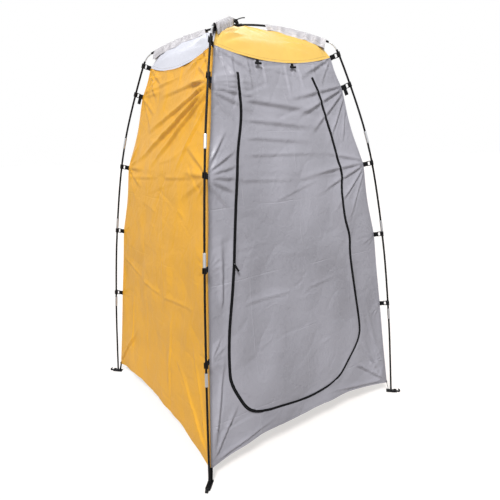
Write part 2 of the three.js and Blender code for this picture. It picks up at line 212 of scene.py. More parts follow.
def mix_colours(tree, share, first, second):
    made = node(tree, "MixRGB")
    for label, value in (("Fac", share), ("Color1", first), ("Color2", second)):
        feed(tree, made.inputs[label], value)
    return made.outputs["Color"]


def flat_pattern(tree):
    """The piece's flat pattern, and its two directions apart."""
    flat = node(tree, "UVMap", uv_map="flat").outputs["UV"]
    parts = node(tree, "SeparateXYZ")
    feed(tree, parts.inputs[0], flat)
    return flat, parts.outputs["X"], parts.outputs["Y"]

# %% [markdown]
# ### The weave
# Cloth and tape are plain weaves: each thread dips under the next, so the height is the product of two
# waves, one along and one across. It follows the piece's own flat pattern, which is its UV map in metres,
# so threads bend and crease with the cloth.

# %% Weave group
def make_weave():
    group, start, end = new_group("plain_weave", {"Threads per metre": 1500.0, "Rib": 1.0}, ["Height"])
    _, across, along = flat_pattern(group)
    across = times(group, across, start.outputs["Threads per metre"])
    along = times(group, along, start.outputs["Threads per metre"])
    along = times(group, along, start.outputs["Rib"])
    warp = math_node(group, "SINE", times(group, across, math.pi))
    weft = math_node(group, "SINE", times(group, along, math.pi))
    feed(group, end.inputs["Height"], math_node(group, "ABSOLUTE", times(group, warp, weft)))
    return group


WEAVE = make_weave()

# %% [markdown]
# ### Unevenness and stitching
# A coated sheet is never quite one colour: the coating is thicker in places and dulls along creases. Two
# sizes of soft noise give that. On the grey cloth the noise is turned up strong, and there it also paints
# soft blotches of sheen and of light shining through the cloth. The stitch reads how far each point is from
# its sewn edge, which the cloth meshes carry as an attribute, and draws short dashes along a line beside the
# edge.

# %% Cloud and stitch groups
FINE_SHARE = 0.12
HALF_THREAD = 0.0007
STITCH_SHARE = 0.72


def make_cloud():
    group, start, end = new_group("cloud", {"Scale": 3.0, "Fine": 30.0, "Strength": 0.1}, ["Mask", "Grain"])
    place = node(group, "TexCoord").outputs["Object"]
    broad = noise(group, place, Scale=start.outputs["Scale"], Detail=1.5)
    fine = noise(group, place, Scale=start.outputs["Fine"], Detail=5.0)
    mixed = plus(group, broad, times(group, fine, FINE_SHARE))
    centred = minus(group, mixed, 0.5 + FINE_SHARE / 2)
    feed(group, end.inputs["Mask"], times(group, centred, start.outputs["Strength"]))
    feed(group, end.inputs["Grain"], fine)
    return group


def make_stitch():
    group, start, end = new_group("running_stitch", {"Offset": 0.008, "Pitch": 0.004}, ["Thread"])
    edge = node(group, "Attribute", attribute_name="edge").outputs["Fac"]
    run = node(group, "Attribute", attribute_name="run").outputs["Fac"]
    off_line = math_node(group, "ABSOLUTE", minus(group, edge, start.outputs["Offset"]))
    on_line = math_node(group, "LESS_THAN", off_line, HALF_THREAD)
    beat = math_node(group, "FRACT", math_node(group, "DIVIDE", run, start.outputs["Pitch"]))
    dash = math_node(group, "LESS_THAN", beat, STITCH_SHARE)
    feed(group, end.inputs["Thread"], times(group, on_line, dash))
    return group

# %% [markdown]
# ### Crumples and packing creases
# A tent spends its life folded small, so its cloth keeps a loose grid of straight creases, and a net of
# tiny crumples in between. Both are too fine for the mesh. The creases are narrow lines at an even spacing
# that wander a little and fade in and out. The crumples are the ridges of a noise, where it crosses its
# middle.

# %% Crumple group
WANDER = 0.03
CREASE_SHARPNESS = 75.0
CRUMPLE_SHARPNESS = 9.0


def ridge_of(tree, value, sharpness):
    """1 where the value crosses a half, falling off to both sides."""
    off = math_node(tree, "ABSOLUTE", minus(tree, value, 0.5))
    return math_node(tree, "MAXIMUM", minus(tree, 1.0, times(tree, off, sharpness)), 0.0)


def crease_lines(group, flat, part, spacing, shift, fading_scale):
    """Narrow wandering lines across one direction of the flat pattern, shown only in places."""
    moved = plus(group, part, times(group, noise(group, flat, Scale=4.0), WANDER))
    beat = math_node(group, "FRACT", plus(group, math_node(group, "DIVIDE", moved, spacing), shift))
    fading = noise(group, flat, Scale=fading_scale, Detail=1.0)
    shown = times(group, minus(group, fading, 0.46), 7.0)
    shown = math_node(group, "MINIMUM", math_node(group, "MAXIMUM", shown, 0.0), 1.0)
    return times(group, ridge_of(group, beat, CREASE_SHARPNESS), shown)


def make_crumple():
    inputs = {"Spacing": 0.29, "Crease": 1.0, "Crumple": 1.0}
    group, start, end = new_group("crumple", inputs, ["Height", "Worn"])
    flat, across, along = flat_pattern(group)
    upright = crease_lines(group, flat, across, start.outputs["Spacing"], 0.43, 5.0)
    level = crease_lines(group, flat, along, start.outputs["Spacing"], 0.66, 3.3)
    total = times(group, minus(group, upright, level), start.outputs["Crease"])
    for scale, weight in ((13.0, 1.0), (34.0, 0.4)):
        field = noise(group, flat, Scale=scale, Detail=2.0, Distortion=0.6)
        net = times(group, ridge_of(group, field, CRUMPLE_SHARPNESS), start.outputs["Crumple"])
        total = plus(group, total, times(group, net, weight))
    feed(group, end.inputs["Height"], total)
    feed(group, end.inputs["Worn"], math_node(group, "MAXIMUM", upright, level))
    return group


CRUMPLE = make_crumple()
CLOUD = make_cloud()
STITCH = make_stitch()
print("groups", [g.name for g in bpy.data.node_groups])

# %% [markdown]
# ### A finish
# Each finish is one material: a base colour that the cloud makes lighter and darker, a roughness that
# follows it, and one bump that adds up the heights of its grain, weave, stitches and creases.

# %% A finish with a base colour, uneven tone, and bump
CLOUD_MIDDLE = 0.5333
FINE_BUMP = 0.0003
CRUMPLE_BUMP = 0.0012


def group_outputs(tree, group, inputs):
    made = node(tree, "Group", node_tree=group)
    for label, value in inputs.items():
        made.inputs[label].default_value = value
    return made.outputs


def tint(colour, factor, lift=0.0):
    return (*[min(1.0, part * factor + lift) for part in colour], 1)


def finish(name, colour, roughness, metallic=0.0, tone=0.12, weave=0.0, threads=1500.0, rib=1.0, grain=0.0,
           fine=60.0, stitched=False, specular=0.5, crumple=0.0, crease=0.0):
    material = bpy.data.materials.new(name)
    material.use_nodes = True
    tree = material.node_tree
    shader = tree.nodes["Principled BSDF"]
    shader.inputs["Metallic"].default_value = metallic
    shader.inputs["Specular IOR Level"].default_value = specular
    cloud = group_outputs(tree, CLOUD, {"Fine": fine, "Strength": tone})
    feed(tree, shader.inputs["Roughness"], plus(tree, cloud["Mask"], roughness))
    share = plus(tree, cloud["Mask"], CLOUD_MIDDLE)
    shown = mix_colours(tree, share, tint(colour, 0.6), tint(colour, 1.35))
    height = times(tree, cloud["Grain"], grain)
    if weave:
        woven = group_outputs(tree, WEAVE, {"Threads per metre": threads, "Rib": rib})["Height"]
        height = plus(tree, height, times(tree, woven, weave))
    if stitched:
        thread = group_outputs(tree, STITCH, {})["Thread"]
        shown = mix_colours(tree, times(tree, thread, 0.55), shown, tint(colour, 0.35))
        height = minus(tree, height, times(tree, thread, 0.6))
    if crumple or crease:
        creased = group_outputs(tree, CRUMPLE, {"Crease": crease, "Crumple": crumple})
        height = plus(tree, times(tree, height, 0.15), creased["Height"])
        shown = mix_colours(tree, times(tree, creased["Worn"], 0.16), shown, tint(colour, 1.5, 0.05))
    bump = node(tree, "Bump")
    bump.inputs["Distance"].default_value = CRUMPLE_BUMP if crumple else FINE_BUMP
    bump.inputs["Strength"].default_value = 0.6
    feed(tree, bump.inputs["Height"], height)
    feed(tree, shader.inputs["Normal"], bump.outputs["Normal"])
    feed(tree, shader.inputs["Base Color"], shown)
    return material


# %% [markdown]
# ### The tent's own finishes
# The roof over the door and the back wall is the same cloth as the yellow walls, in a paler yellow that
# paints the sheen and the light shining through it from above. The black pieces differ in how dull and
# how grainy they are: webbing, zip tape, moulded plastic, coil and rod.

# %% Every finish
cloth = {"weave": 0.5, "grain": 0.5, "stitched": True, "specular": 0.55, "crease": 1.3, "crumple": 0.75}
YELLOW = finish("yellow_taffeta", (0.84, 0.385, 0.026), 0.44, tone=0.2, **cloth)
# Painted sheen: the roof is the walls' yellow cloth, and this paler copy paints its sheen and the light
# shining through it.
ROOF_YELLOW_PAINTED_SHEEN = finish("yellow_roof_taffeta", (0.90, 0.50, 0.110), 0.40, tone=0.2, **cloth)
# The grey's strong tone is partly real unevenness and partly painted: soft blotches of sheen and of light
# shining through the cloth.
GREY = finish("silver_grey_taffeta", (0.335, 0.330, 0.372), 0.34, tone=0.8, **cloth)
PALE = finish("pale_taffeta", (0.62, 0.63, 0.70), 0.5, tone=0.08, **cloth)
SLEEVE = finish("sleeve_taffeta", (0.47, 0.455, 0.475), 0.45, tone=0.14, **cloth)
TAPE = finish("black_webbing", (0.008, 0.008, 0.009), 0.7, weave=1.6, threads=700.0, rib=0.5, grain=0.3,
              specular=0.06)
ZIP_TAPE = finish("zip_tape", (0.008, 0.008, 0.009), 0.75, weave=1.2, threads=1100.0, grain=0.3,
                  specular=0.1)
PLASTIC = finish("black_plastic", (0.010, 0.010, 0.011), 0.45, grain=1.2, fine=900.0, tone=0.25,
                 specular=0.1)
COIL = finish("zip_coil", (0.010, 0.010, 0.012), 0.4, grain=0.3, fine=500.0, tone=0.2, specular=0.2)
ROD = finish("black_rod", (0.010, 0.0095, 0.0105), 0.38, grain=0.6, fine=220.0, tone=0.3, specular=0.08)
STEEL = finish("plated_steel", (0.60, 0.61, 0.63), 0.28, metallic=1.0, grain=0.5, fine=400.0, tone=0.25)
print("finishes", [m.name for m in bpy.data.materials if m.name.islower()])

# %% [markdown]
# ## The tent's lines, read from the design
# Walls and straps all meet the canopy's four corners, so the corner line is measured once from the side
# wall's own vertices: at each strap it has a knot, a height with the cabin's half width there.

# %% The corner line
def points_of(name):
    mesh = frame["nodes"][name].data
    flat = np.empty(len(mesh.vertices) * 3)
    mesh.vertices.foreach_get("co", flat)
    return flat.reshape(-1, 3)


def corner_knots():
    side = points_of("wall_right")
    edge = side[np.abs(side[:, 1]) > side[:, 0] - 0.0005]
    levels = {}
    for x, _, z in edge:
        level = round(z, 3)
        levels[level] = max(levels.get(level, 0.0), x)
    return sorted(levels.items())


KNOTS = corner_knots()
KNOT_HEIGHTS = np.array([height for height, _ in KNOTS])
KNOT_WIDTHS = np.array([width for _, width in KNOTS])
HEM, TOP = KNOT_HEIGHTS[0], KNOT_HEIGHTS[-1]
HEM_ARCH = 0.055
TOP_SAG = 0.044
print("corner knots", [(round(h, 3), round(w, 3)) for h, w in KNOTS])

# %% [markdown]
# Between two straps the corner is pulled by the cloth alone, so it curves in a little: a scallop, deepest
# in the upper bands where the walls lean most.

# %% Half width and scallop
SCALLOPS = [0.001, 0.001, 0.005, 0.0075, 0.003]


def half_width(height):
    return np.interp(height, KNOT_HEIGHTS, KNOT_WIDTHS)


def scallop(height):
    band = np.clip(np.searchsorted(KNOT_HEIGHTS, height, side="right") - 1, 0, len(SCALLOPS) - 1)
    low, high = KNOT_HEIGHTS[band], KNOT_HEIGHTS[band + 1]
    share = np.clip((height - low) / (high - low), 0, 1)
    return np.array(SCALLOPS)[band] * np.sin(math.pi * share) ** 1.5

# %% [markdown]
# ## Folds
# Thin coated cloth under tension keeps three kinds of relief. Straps pull fans of folds out of each corner.
# Being packed leaves long sharp creases. And all over it billows softly and crinkles. Each is written as a
# small height over the flat wall, and the wall adds them up: a modelled fold can be put exactly where the
# real one runs, which a simulation can't promise.

# %% Fold shapes
def ease(value):
    value = np.clip(value, 0, 1)
    return value * value * (3 - 2 * value)


# A fold narrower than this would fall between the points of the walls' grids and show as beads.
FINEST = 0.0085
STEEP_SIDE, GENTLE_SIDE = 0.75, 1.35
HOLLOW = 0.35


def fold(x, z, start, end, width, height):
    """One fold: a widening crest, steep on its lower side, with a shallow hollow beside it."""
    (x0, z0), (x1, z1) = start, end
    length = math.hypot(x1 - x0, z1 - z0)
    ux, uz = (x1 - x0) / length, (z1 - z0) / length
    along = ((x - x0) * ux + (z - z0) * uz) / length
    across = ((x - x0) * -uz + (z - z0) * ux) * (1 if ux >= 0 else -1)
    spread = width * (0.35 + 0.65 * np.clip(along, 0, 1.2))
    steepness = np.where(across > 0, GENTLE_SIDE, STEEP_SIDE)
    spread = np.maximum(spread * steepness, FINEST * steepness)
    rise = ease(along / 0.14) * (1 - ease((along - 0.5) / 0.55))
    crest = np.exp(-((np.abs(across) / spread) ** 1.35))
    hollow = HOLLOW * np.exp(-(((across + 1.7 * spread) / spread) ** 2))
    return height * rise * (crest - hollow)


def fan(x, z, place, inward, seed, length=0.24, height=0.0062, count=5):
    """Folds that spread from a strap, like the rays of a star, each of its own length."""
    random = np.random.default_rng(seed)
    total = np.zeros_like(x)
    for i in range(count):
        angle = math.radians(-64 + 128 * (i + random.uniform(0.25, 0.75)) / count)
        reach = length * random.uniform(0.55, 1.3)
        tip = (place[0] + inward * reach * math.cos(angle), place[1] + reach * math.sin(angle))
        total += fold(x, z, place, tip, 0.075 * reach, height * random.uniform(0.7, 1.15))
    return total


def strokes(x, z, seed, count=46, tilt=0.5):
    """Small loose creases scattered over a wall, mostly lying across it."""
    random = np.random.default_rng(seed)
    total = np.zeros_like(x)
    for _ in range(count):
        cx, cz = random.uniform(-0.5, 0.5), random.uniform(0.12, 1.68)
        reach = random.uniform(0.05, 0.16)
        angle = random.normal(0, tilt)
        dx, dz = reach * math.cos(angle), reach * math.sin(angle)
        height = random.uniform(0.0012, 0.0034) * random.choice((-1, 1))
        total += fold(x, z, (cx - dx, cz - dz), (cx + dx, cz + dz), random.uniform(0.007, 0.013), height)
    return total


def billow(x, z, spacing, seed, count=9):
    """Soft unevenness: a few long waves in seeded directions."""
    random = np.random.default_rng(seed)
    total = np.zeros_like(x)
    for _ in range(count):
        angle = random.uniform(0, math.pi)
        wave = 2 * math.pi / (spacing * random.uniform(0.7, 1.6))
        bend = 0.8 * np.sin(wave * 0.45 * (x * math.sin(angle) - z * math.cos(angle)) + random.uniform(0, 6))
        total += np.sin(wave * (x * math.cos(angle) + z * math.sin(angle)) + random.uniform(0, 6) + bend)
    return total / count


def crinkle(x, z, spacing, seed):
    """Sharp small creases: the kinks where two soft fields cross their middle value."""
    first = np.abs(billow(x, z, spacing, seed, 7))
    second = np.abs(billow(x, z, spacing * 0.6, seed + 50, 7))
    return -np.exp(-first * 9) - 0.5 * np.exp(-second * 9)

# %% [markdown]
# Now the folds of each wall. The four share the fans, the billow and the crinkle. The door wall and the two
# side walls also have their own long folds, listed as start, end, width and height in metres, across the
# wall and up it.

# %% Each wall's folds
LONG_FOLDS = {
    "front": [
        ((-0.36, 1.60), (-0.17, 1.615), 0.008, 0.0050),
        ((-0.36, 1.59), (-0.15, 1.588), 0.009, 0.0065),
        ((-0.36, 1.58), (-0.16, 1.560), 0.009, 0.0065),
        ((-0.36, 1.565), (-0.12, 1.525), 0.011, 0.0070),
        ((-0.36, 1.55), (-0.18, 1.475), 0.012, 0.0060),
        ((-0.37, 1.55), (-0.27, 1.42), 0.011, 0.0050),
        ((-0.22, 1.52), (0.24, 1.475), 0.030, 0.0065),
        ((-0.24, 1.44), (0.22, 1.405), 0.026, 0.0050),
        ((-0.25, 1.37), (0.16, 1.345), 0.022, 0.0040),
        ((-0.26, 1.30), (0.20, 1.295), 0.018, 0.0030),
        ((0.37, 1.60), (-0.02, 1.520), 0.022, 0.0070),
        ((0.37, 1.59), (0.02, 1.440), 0.020, 0.0075),
        ((0.375, 1.58), (0.10, 1.365), 0.019, 0.0070),
        ((0.38, 1.57), (0.20, 1.300), 0.018, 0.0060),
        ((0.39, 1.56), (0.31, 1.320), 0.014, 0.0050),
        ((0.44, 1.250), (0.16, 1.300), 0.016, 0.0055),
        ((0.44, 1.240), (0.02, 1.195), 0.017, 0.0065),
        ((0.44, 1.232), (0.14, 1.120), 0.017, 0.0065),
        ((0.44, 1.225), (0.22, 1.020), 0.017, 0.0060),
        ((0.44, 1.215), (0.31, 0.960), 0.016, 0.0050),
        ((-0.44, 1.250), (-0.315, 1.405), 0.010, 0.0060),
        ((-0.44, 1.242), (-0.275, 1.330), 0.010, 0.0052),
        ((-0.44, 1.235), (-0.255, 1.268), 0.010, 0.0050),
        ((-0.44, 1.228), (-0.245, 1.205), 0.010, 0.0050),
        ((-0.44, 1.222), (-0.280, 1.140), 0.011, 0.0060),
        ((-0.44, 1.215), (-0.320, 1.060), 0.012, 0.0055),
        ((-0.30, 1.204), (0.02, 1.186), 0.006, 0.0022),
        ((0.00, 1.186), (0.30, 1.200), 0.006, 0.0018),
        ((-0.43, 0.70), (-0.40, 1.02), 0.022, 0.0060),
        ((-0.33, 0.70), (-0.02, 0.71), 0.007, 0.0024),
        ((0.01, 0.700), (0.24, 0.72), 0.006, 0.0020),
        ((0.53, 0.09), (0.39, 0.56), 0.017, 0.0070),
        ((0.52, 0.09), (0.34, 0.40), 0.017, 0.0060),
        ((0.53, 0.085), (0.27, 0.27), 0.014, 0.0070),
        ((0.52, 0.08), (0.12, 0.15), 0.012, 0.0055),
        ((-0.53, 0.10), (-0.44, 0.52), 0.014, 0.0070),
        ((-0.53, 0.09), (-0.38, 0.30), 0.014, 0.0060),
        ((-0.52, 0.08), (-0.20, 0.15), 0.012, 0.0050),
    ],
    "left": [
        ((0.36, 1.57), (-0.36, 1.245), 0.026, 0.0105),
        ((0.36, 1.56), (-0.18, 1.225), 0.022, 0.0085),
        ((0.35, 1.58), (-0.28, 1.395), 0.022, 0.0080),
        ((0.35, 1.60), (-0.20, 1.560), 0.016, 0.0045),
        ((0.37, 1.54), (0.12, 1.215), 0.018, 0.0060),
        ((-0.36, 1.60), (0.10, 1.640), 0.010, 0.0040),
        ((-0.44, 1.182), (0.00, 1.200), 0.006, 0.0028),
        ((0.00, 1.200), (0.44, 1.224), 0.006, 0.0028),
        ((0.009, 1.20), (0.050, 0.86), 0.006, 0.0022),
        ((0.050, 0.88), (0.077, 0.52), 0.006, 0.0022),
        ((-0.48, 0.735), (-0.18, 0.665), 0.007, 0.0032),
        ((-0.20, 0.665), (0.10, 0.650), 0.007, 0.0030),
        ((0.06, 0.650), (0.42, 0.685), 0.007, 0.0030),
        ((-0.36, 0.20), (-0.33, 0.62), 0.020, 0.0040),
        ((-0.14, 0.16), (-0.15, 0.60), 0.018, 0.0040),
        ((0.14, 0.16), (0.16, 0.62), 0.020, 0.0040),
        ((0.52, 0.09), (0.20, 0.42), 0.018, 0.0070),
        ((0.53, 0.10), (0.36, 0.55), 0.018, 0.0060),
        ((-0.52, 0.09), (-0.25, 0.40), 0.018, 0.0065),
    ],
    "right": [
        ((-0.36, 1.57), (0.30, 1.280), 0.026, 0.0090),
        ((-0.36, 1.55), (0.08, 1.240), 0.022, 0.0070),
        ((-0.44, 1.20), (0.44, 1.19), 0.006, 0.0026),
        ((-0.02, 1.18), (0.03, 0.40), 0.006, 0.0022),
        ((-0.45, 0.66), (0.42, 0.68), 0.006, 0.0026),
        ((0.52, 0.09), (0.22, 0.44), 0.018, 0.0070),
        ((-0.52, 0.09), (-0.22, 0.44), 0.018, 0.0070),
    ],
    "back": [
        ((0.36, 1.57), (-0.30, 1.300), 0.026, 0.0090),
        ((-0.36, 1.56), (0.10, 1.250), 0.022, 0.0060),
        ((-0.44, 1.19), (0.44, 1.20), 0.006, 0.0026),
        ((0.02, 1.16), (-0.03, 0.30), 0.006, 0.0022),
        ((-0.45, 0.67), (0.42, 0.66), 0.006, 0.0026),
        ((0.52, 0.09), (0.22, 0.44), 0.018, 0.0070),
        ((-0.52, 0.09), (-0.22, 0.44), 0.018, 0.0070),
    ],
}
# The straps whose folds are all in the list above, so that no fan is added there.
HAND_LAID = {("front", 3), ("front", 4)}
TOP_GATHERS = {
    "front": [-0.30, -0.24, -0.165, -0.12, -0.085, 0.03, 0.065, 0.105, 0.19, 0.27],
    "left": [-0.22, 0.05, 0.2],
    "right": [-0.2, 0.02, 0.2],
    "back": [-0.22, -0.05, 0.12, 0.25],
}
# How much narrower and higher the listed folds are made, all alike.
LONG_NARROW, LONG_HIGH = 0.76, 1.35
LOW_FAN = {"length": 0.10, "height": 0.0030}
HIGH_FAN = {"length": 0.22, "height": 0.0066}


def relief(side, x, z):
    seed = 10 * list(WALL_TURN).index(side) + 3
    calm = 0.55 + 0.45 * ease((1.35 - z) / 0.5)
    loose = 0.35 + 0.65 * ease((z - 0.95) / 0.3)
    total = 0.0130 * calm * billow(x, 0.55 * z, 0.42, seed) + 0.0064 * billow(x, 0.7 * z, 0.15, seed + 1)
    total += 0.0015 * crinkle(x, z, 0.20, seed + 2) + loose * strokes(x, z, seed + 3)
    for i, (height, width) in enumerate(KNOTS[1:]):
        if (side, i + 1) in HAND_LAID:
            continue
        size = LOW_FAN if i + 1 < 3 else HIGH_FAN
        for inward in (1, -1):
            total += fan(x, z, (-inward * width, height), inward, seed + 7 * i + inward, **size)
    for start, end, width, height in LONG_FOLDS[side]:
        total += LONG_HIGH * fold(x, z, start, end, LONG_NARROW * width, height)
    for i, place in enumerate(TOP_GATHERS[side]):
        top = TOP - TOP_SAG * (1 - (place / KNOT_WIDTHS[-1]) ** 2)
        reach = 0.07 + 0.05 * ((i * 7) % 3)
        total += fold(x, z, (place, top + 0.004), (place * 1.06 + 0.008, top - reach), 0.011, 0.0034)
    from_edge = half_width(z) - np.abs(x)
    return total * (1 - np.exp(-((from_edge / 0.014) ** 2)))

# %% [markdown]
# ## Making a sheet
# A sheet is a grid of points, with the flat pattern kept as its UV map. Solidify then gives the cloth its
# thickness towards the inside, so the outer face stays where it was put.

# %% Sheet helpers
CLOTH = 0.0008


def grid_normals(grid):
    """The surface's direction at each grid point, so that pieces cut from one grid shade as one."""
    up = np.gradient(grid, axis=0)
    right = np.gradient(grid, axis=1)
    normals = np.cross(right, up)
    return normals / (np.linalg.norm(normals, axis=-1, keepdims=True) + 1e-12)


def sheet_mesh(name, grid, flat, material, keep=None, edge=None, run=None, thickness=CLOTH, normals=None):
    rows, columns = grid.shape[:2]
    index = np.arange(rows * columns).reshape(rows, columns)
    quads = np.stack([index[:-1, :-1], index[:-1, 1:], index[1:, 1:], index[1:, :-1]], axis=-1)
    quads = quads.reshape(-1, 4)
    quads = quads if keep is None else quads[keep]
    used, quads = np.unique(quads, return_inverse=True)
    quads = quads.reshape(-1, 4)
    mesh = bpy.data.meshes.new(name)
    mesh.from_pydata(grid.reshape(-1, 3)[used].tolist(), [], quads.tolist())
    layer = mesh.uv_layers.new(name="flat")
    loops = np.empty(len(mesh.loops), dtype=np.int64)
    mesh.loops.foreach_get("vertex_index", loops)
    layer.data.foreach_set("uv", flat.reshape(-1, 2)[used][loops].astype(np.float32).ravel())
    for label, values in (("edge", edge), ("run", run)):
        values = np.full(rows * columns, 0.5) if values is None else values.reshape(-1)
        attribute = mesh.attributes.new(label, "FLOAT", "POINT")
        attribute.data.foreach_set("value", values[used].astype(np.float32))
    obj = linked(name, mesh)
    mesh.materials.append(material)
    modify(obj, "SOLIDIFY", thickness=thickness, offset=-1, use_even_offset=False)
    bpy.ops.object.shade_smooth()
    facing = (grid_normals(grid) if normals is None else normals).reshape(-1, 3)[used]
    obj.data.normals_split_custom_set_from_vertices(np.concatenate([facing, -facing]).tolist())
    return obj


def turned(grid, side):
    cosine, sine = math.cos(math.radians(WALL_TURN[side])), math.sin(math.radians(WALL_TURN[side]))
    x, y, z = grid[..., 0], grid[..., 1], grid[..., 2]
    return np.stack([x * cosine - y * sine, x * sine + y * cosine, z], -1)


def wall_grid(side, x, z, calm=1.0):
    """Where the flat points (x, z) of a wall lie in space, folds and all, on the wall's own side."""
    width = half_width(z)
    share = np.clip(np.abs(x) / width, 0, 1)
    y = -width + scallop(z) * share ** 4 - calm * relief(side, x, z)
    return turned(np.stack([x, y, z], axis=-1), side)

# %% [markdown]
# ## Three plain walls
# A plain wall is one panel from corner to corner. Its rows follow the arched hem at the bottom and the
# sagging top edge, and run level between. The cloth's flat size is taken from the panel before its folds.

# %% Row heights and plain walls
CELL = 0.0068


def row_heights(low, high):
    return np.linspace(low, high, max(2, int(round((high - low) / CELL)) + 1))


def hem_line(share):
    return HEM + HEM_ARCH * (1 - np.abs(share) ** 2.6) + 0.0022 * (1 - share**4) * np.sin(13 * share + 1)


def top_line(share):
    return TOP - TOP_SAG * (1 - share * share)


LOW_ROWS = 0.20
HIGH_ROWS = 1.625


def wall_rows(levels, shares, level_from, level_to):
    """Heights for a grid whose rows are level between two heights and bend to the hem and the top edge."""
    heights = np.repeat(levels[:, None], shares.shape[-1], axis=1)
    low = levels < level_from
    high = levels > level_to
    foot = (levels[low, None] - HEM) / (level_from - HEM)
    head = (levels[high, None] - level_to) / (TOP - level_to)
    heights[low] = hem_line(shares[low]) * (1 - foot) + level_from * foot
    heights[high] = top_line(shares[high]) * head + level_to * (1 - head)
    return heights


def one_list(*parts):
    """Several runs of row heights as one rising list, with no height twice."""
    return np.unique(np.round(np.concatenate(parts), 6))


def edge_distances(x, z, shares):
    width = half_width(z)
    sides = width - scallop(z) - np.abs(x)
    return np.minimum(np.minimum(z - hem_line(shares), top_line(shares) - z), sides)


def plain_wall(side, material):
    levels = one_list(row_heights(HEM, LOW_ROWS), row_heights(LOW_ROWS, HIGH_ROWS),
                      row_heights(HIGH_ROWS, TOP))
    shares = np.repeat(np.linspace(-1, 1, int(1.1 / CELL))[None, :], len(levels), axis=0)
    z = wall_rows(levels, shares, LOW_ROWS, HIGH_ROWS)
    x = shares * (half_width(z) - scallop(z))
    edge = edge_distances(x, z, shares)
    run = np.where(np.abs(shares) > 0.9, z, x)
    flat = np.stack([x, z], -1)
    wall = sheet_mesh(f"cloth_{side}", wall_grid(side, x, z), flat, material, edge=edge, run=run)
    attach(wall, "frame")
    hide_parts(f"wall_{side}")


plain_wall("left", YELLOW)
plain_wall("right", YELLOW)
plain_wall("back", GREY)

# %% [markdown]
# ## The door wall
# The door is a U-shaped cut closed by a zip, and it rolls up. Its cloth and the wall around it come from
# one grid, whose columns follow the two runs of the zip, so that both show the same folds. The door's
# outline is measured from the design's door folds, and the pull of the straps then sways it a few
# centimetres: each sway is a height, a reach up and down, and how far out the run moves there.

# %% The door's outline
DOOR_PARTS = [f"door_fold_{i}" for i in range(1, 6)]
door_points = np.concatenate([points_of(name) for name in DOOR_PARTS])
DOOR_LOW, DOOR_HIGH = door_points[:, 2].min(), door_points[:, 2].max()
DOOR_MIDDLE = (door_points[:, 0].min() + door_points[:, 0].max()) / 2
CORNER_RISE = 0.200
DOOR_SWAYS = {
    -1: [(1.46, 0.12, -0.020), (0.58, 0.15, 0.009), (0.29, 0.09, -0.028)],
    1: [(1.33, 0.28, 0.036), (1.19, 0.05, 0.012), (1.55, 0.06, 0.006), (0.90, 0.06, 0.013),
        (0.25, 0.10, -0.070)],
}


def door_edge(side, heights):
    """Where the door's edge is at each height. The round corner is read by the root of the height."""
    reach = {}
    for x, _, z in door_points:
        out = (x - DOOR_MIDDLE) * side
        if out > 0:
            level = round(float(z), 4)
            reach[level] = max(reach.get(level, 0.0), out)
    levels = np.array(sorted(reach))
    outs = np.array([reach[level] for level in levels])
    outer = outs >= np.interp(levels, levels[[0, -1]], outs[[0, -1]]) - 1e-6
    levels, outs = levels[outer], outs[outer]
    root, known = (np.sqrt(np.clip(z - DOOR_LOW, 0, None)) for z in (heights, levels))
    span = np.interp(root, known, outs)
    for height, spread, out in DOOR_SWAYS[side]:
        span = span + out * np.exp(-(((heights - height) / spread) ** 2))
    return DOOR_MIDDLE + side * span


print("door", round(DOOR_LOW, 3), "to", round(DOOR_HIGH, 3), "middle", round(DOOR_MIDDLE, 3))

# %% [markdown]
# The rows close up towards the door's bottom edge, where its corners turn, and have one level at each place
# where two pieces of the rolled door meet. The door's bottom edge sags a little between its corners. The
# zip is stiffer than the cloth, so folds die out beside it.

# %% The door wall's grid
hinges = {j["name"]: j for j in frame["joints"]}
HINGE_HEIGHTS = [hinges[f"door_roll_{i}"]["pos_m"][2] for i in range(1, 6)]
middles = [(a + b) / 2 for a, b in zip(HINGE_HEIGHTS, HINGE_HEIGHTS[1:] + [DOOR_LOW])]
corner_steps = np.linspace(0, 1, 26)
corner_levels = DOOR_LOW + CORNER_RISE * corner_steps ** 2
upper_levels = row_heights(DOOR_LOW + CORNER_RISE, DOOR_HIGH)
levels = one_list(row_heights(HEM, DOOR_LOW), corner_levels, upper_levels, row_heights(DOOR_HIGH, TOP))
bottom_row = int(np.argmin(np.abs(levels - DOOR_LOW)))
top_row = int(np.argmin(np.abs(levels - DOOR_HIGH)))
splits = [top_row] + [int(np.argmin(np.abs(levels - z))) for z in middles] + [bottom_row]

jamb_cells = int(0.20 / CELL)
door_cells = int(0.72 / CELL)
clamped = np.clip(levels, DOOR_LOW, DOOR_HIGH)
left_run, right_run = door_edge(-1, clamped), door_edge(1, clamped)


DOOR_SAG = 0.030
ZIP_CALM = 0.017


def door_wall_columns(width, left, right):
    a = np.linspace(-width, left, jamb_cells + 1)
    b = np.linspace(left, right, door_cells + 1)
    c = np.linspace(right, width, jamb_cells + 1)
    return np.concatenate([a, b[1:], c[1:]])


outer = half_width(levels) - scallop(levels)
columns = np.stack([door_wall_columns(*row) for row in zip(outer, left_run, right_run)])
shares = columns / outer[:, None]
front_z = wall_rows(levels, shares, levels[bottom_row], levels[top_row])
sag = DOOR_SAG * np.exp(-(((columns - DOOR_MIDDLE - 0.03) / 0.20) ** 2))
front_z = front_z - sag * np.exp(-(((front_z - DOOR_LOW) / 0.07) ** 2))
front_x = shares * (half_width(front_z) - scallop(front_z))
front_x[bottom_row:top_row + 1] = columns[bottom_row:top_row + 1]
off_run = np.minimum(np.abs(front_x - front_x[:, jamb_cells, None]),
                     np.abs(front_x - front_x[:, jamb_cells + door_cells, None]))
off_run = np.hypot(off_run, np.clip(front_z - DOOR_HIGH, 0, None) + 4 * np.clip(DOOR_LOW - front_z, 0, None))
off_low = np.abs(front_z - front_z[bottom_row]) + 4 * np.clip(np.abs(front_x - DOOR_MIDDLE) - 0.24, 0, None)
off_zip = np.minimum(off_run, off_low)
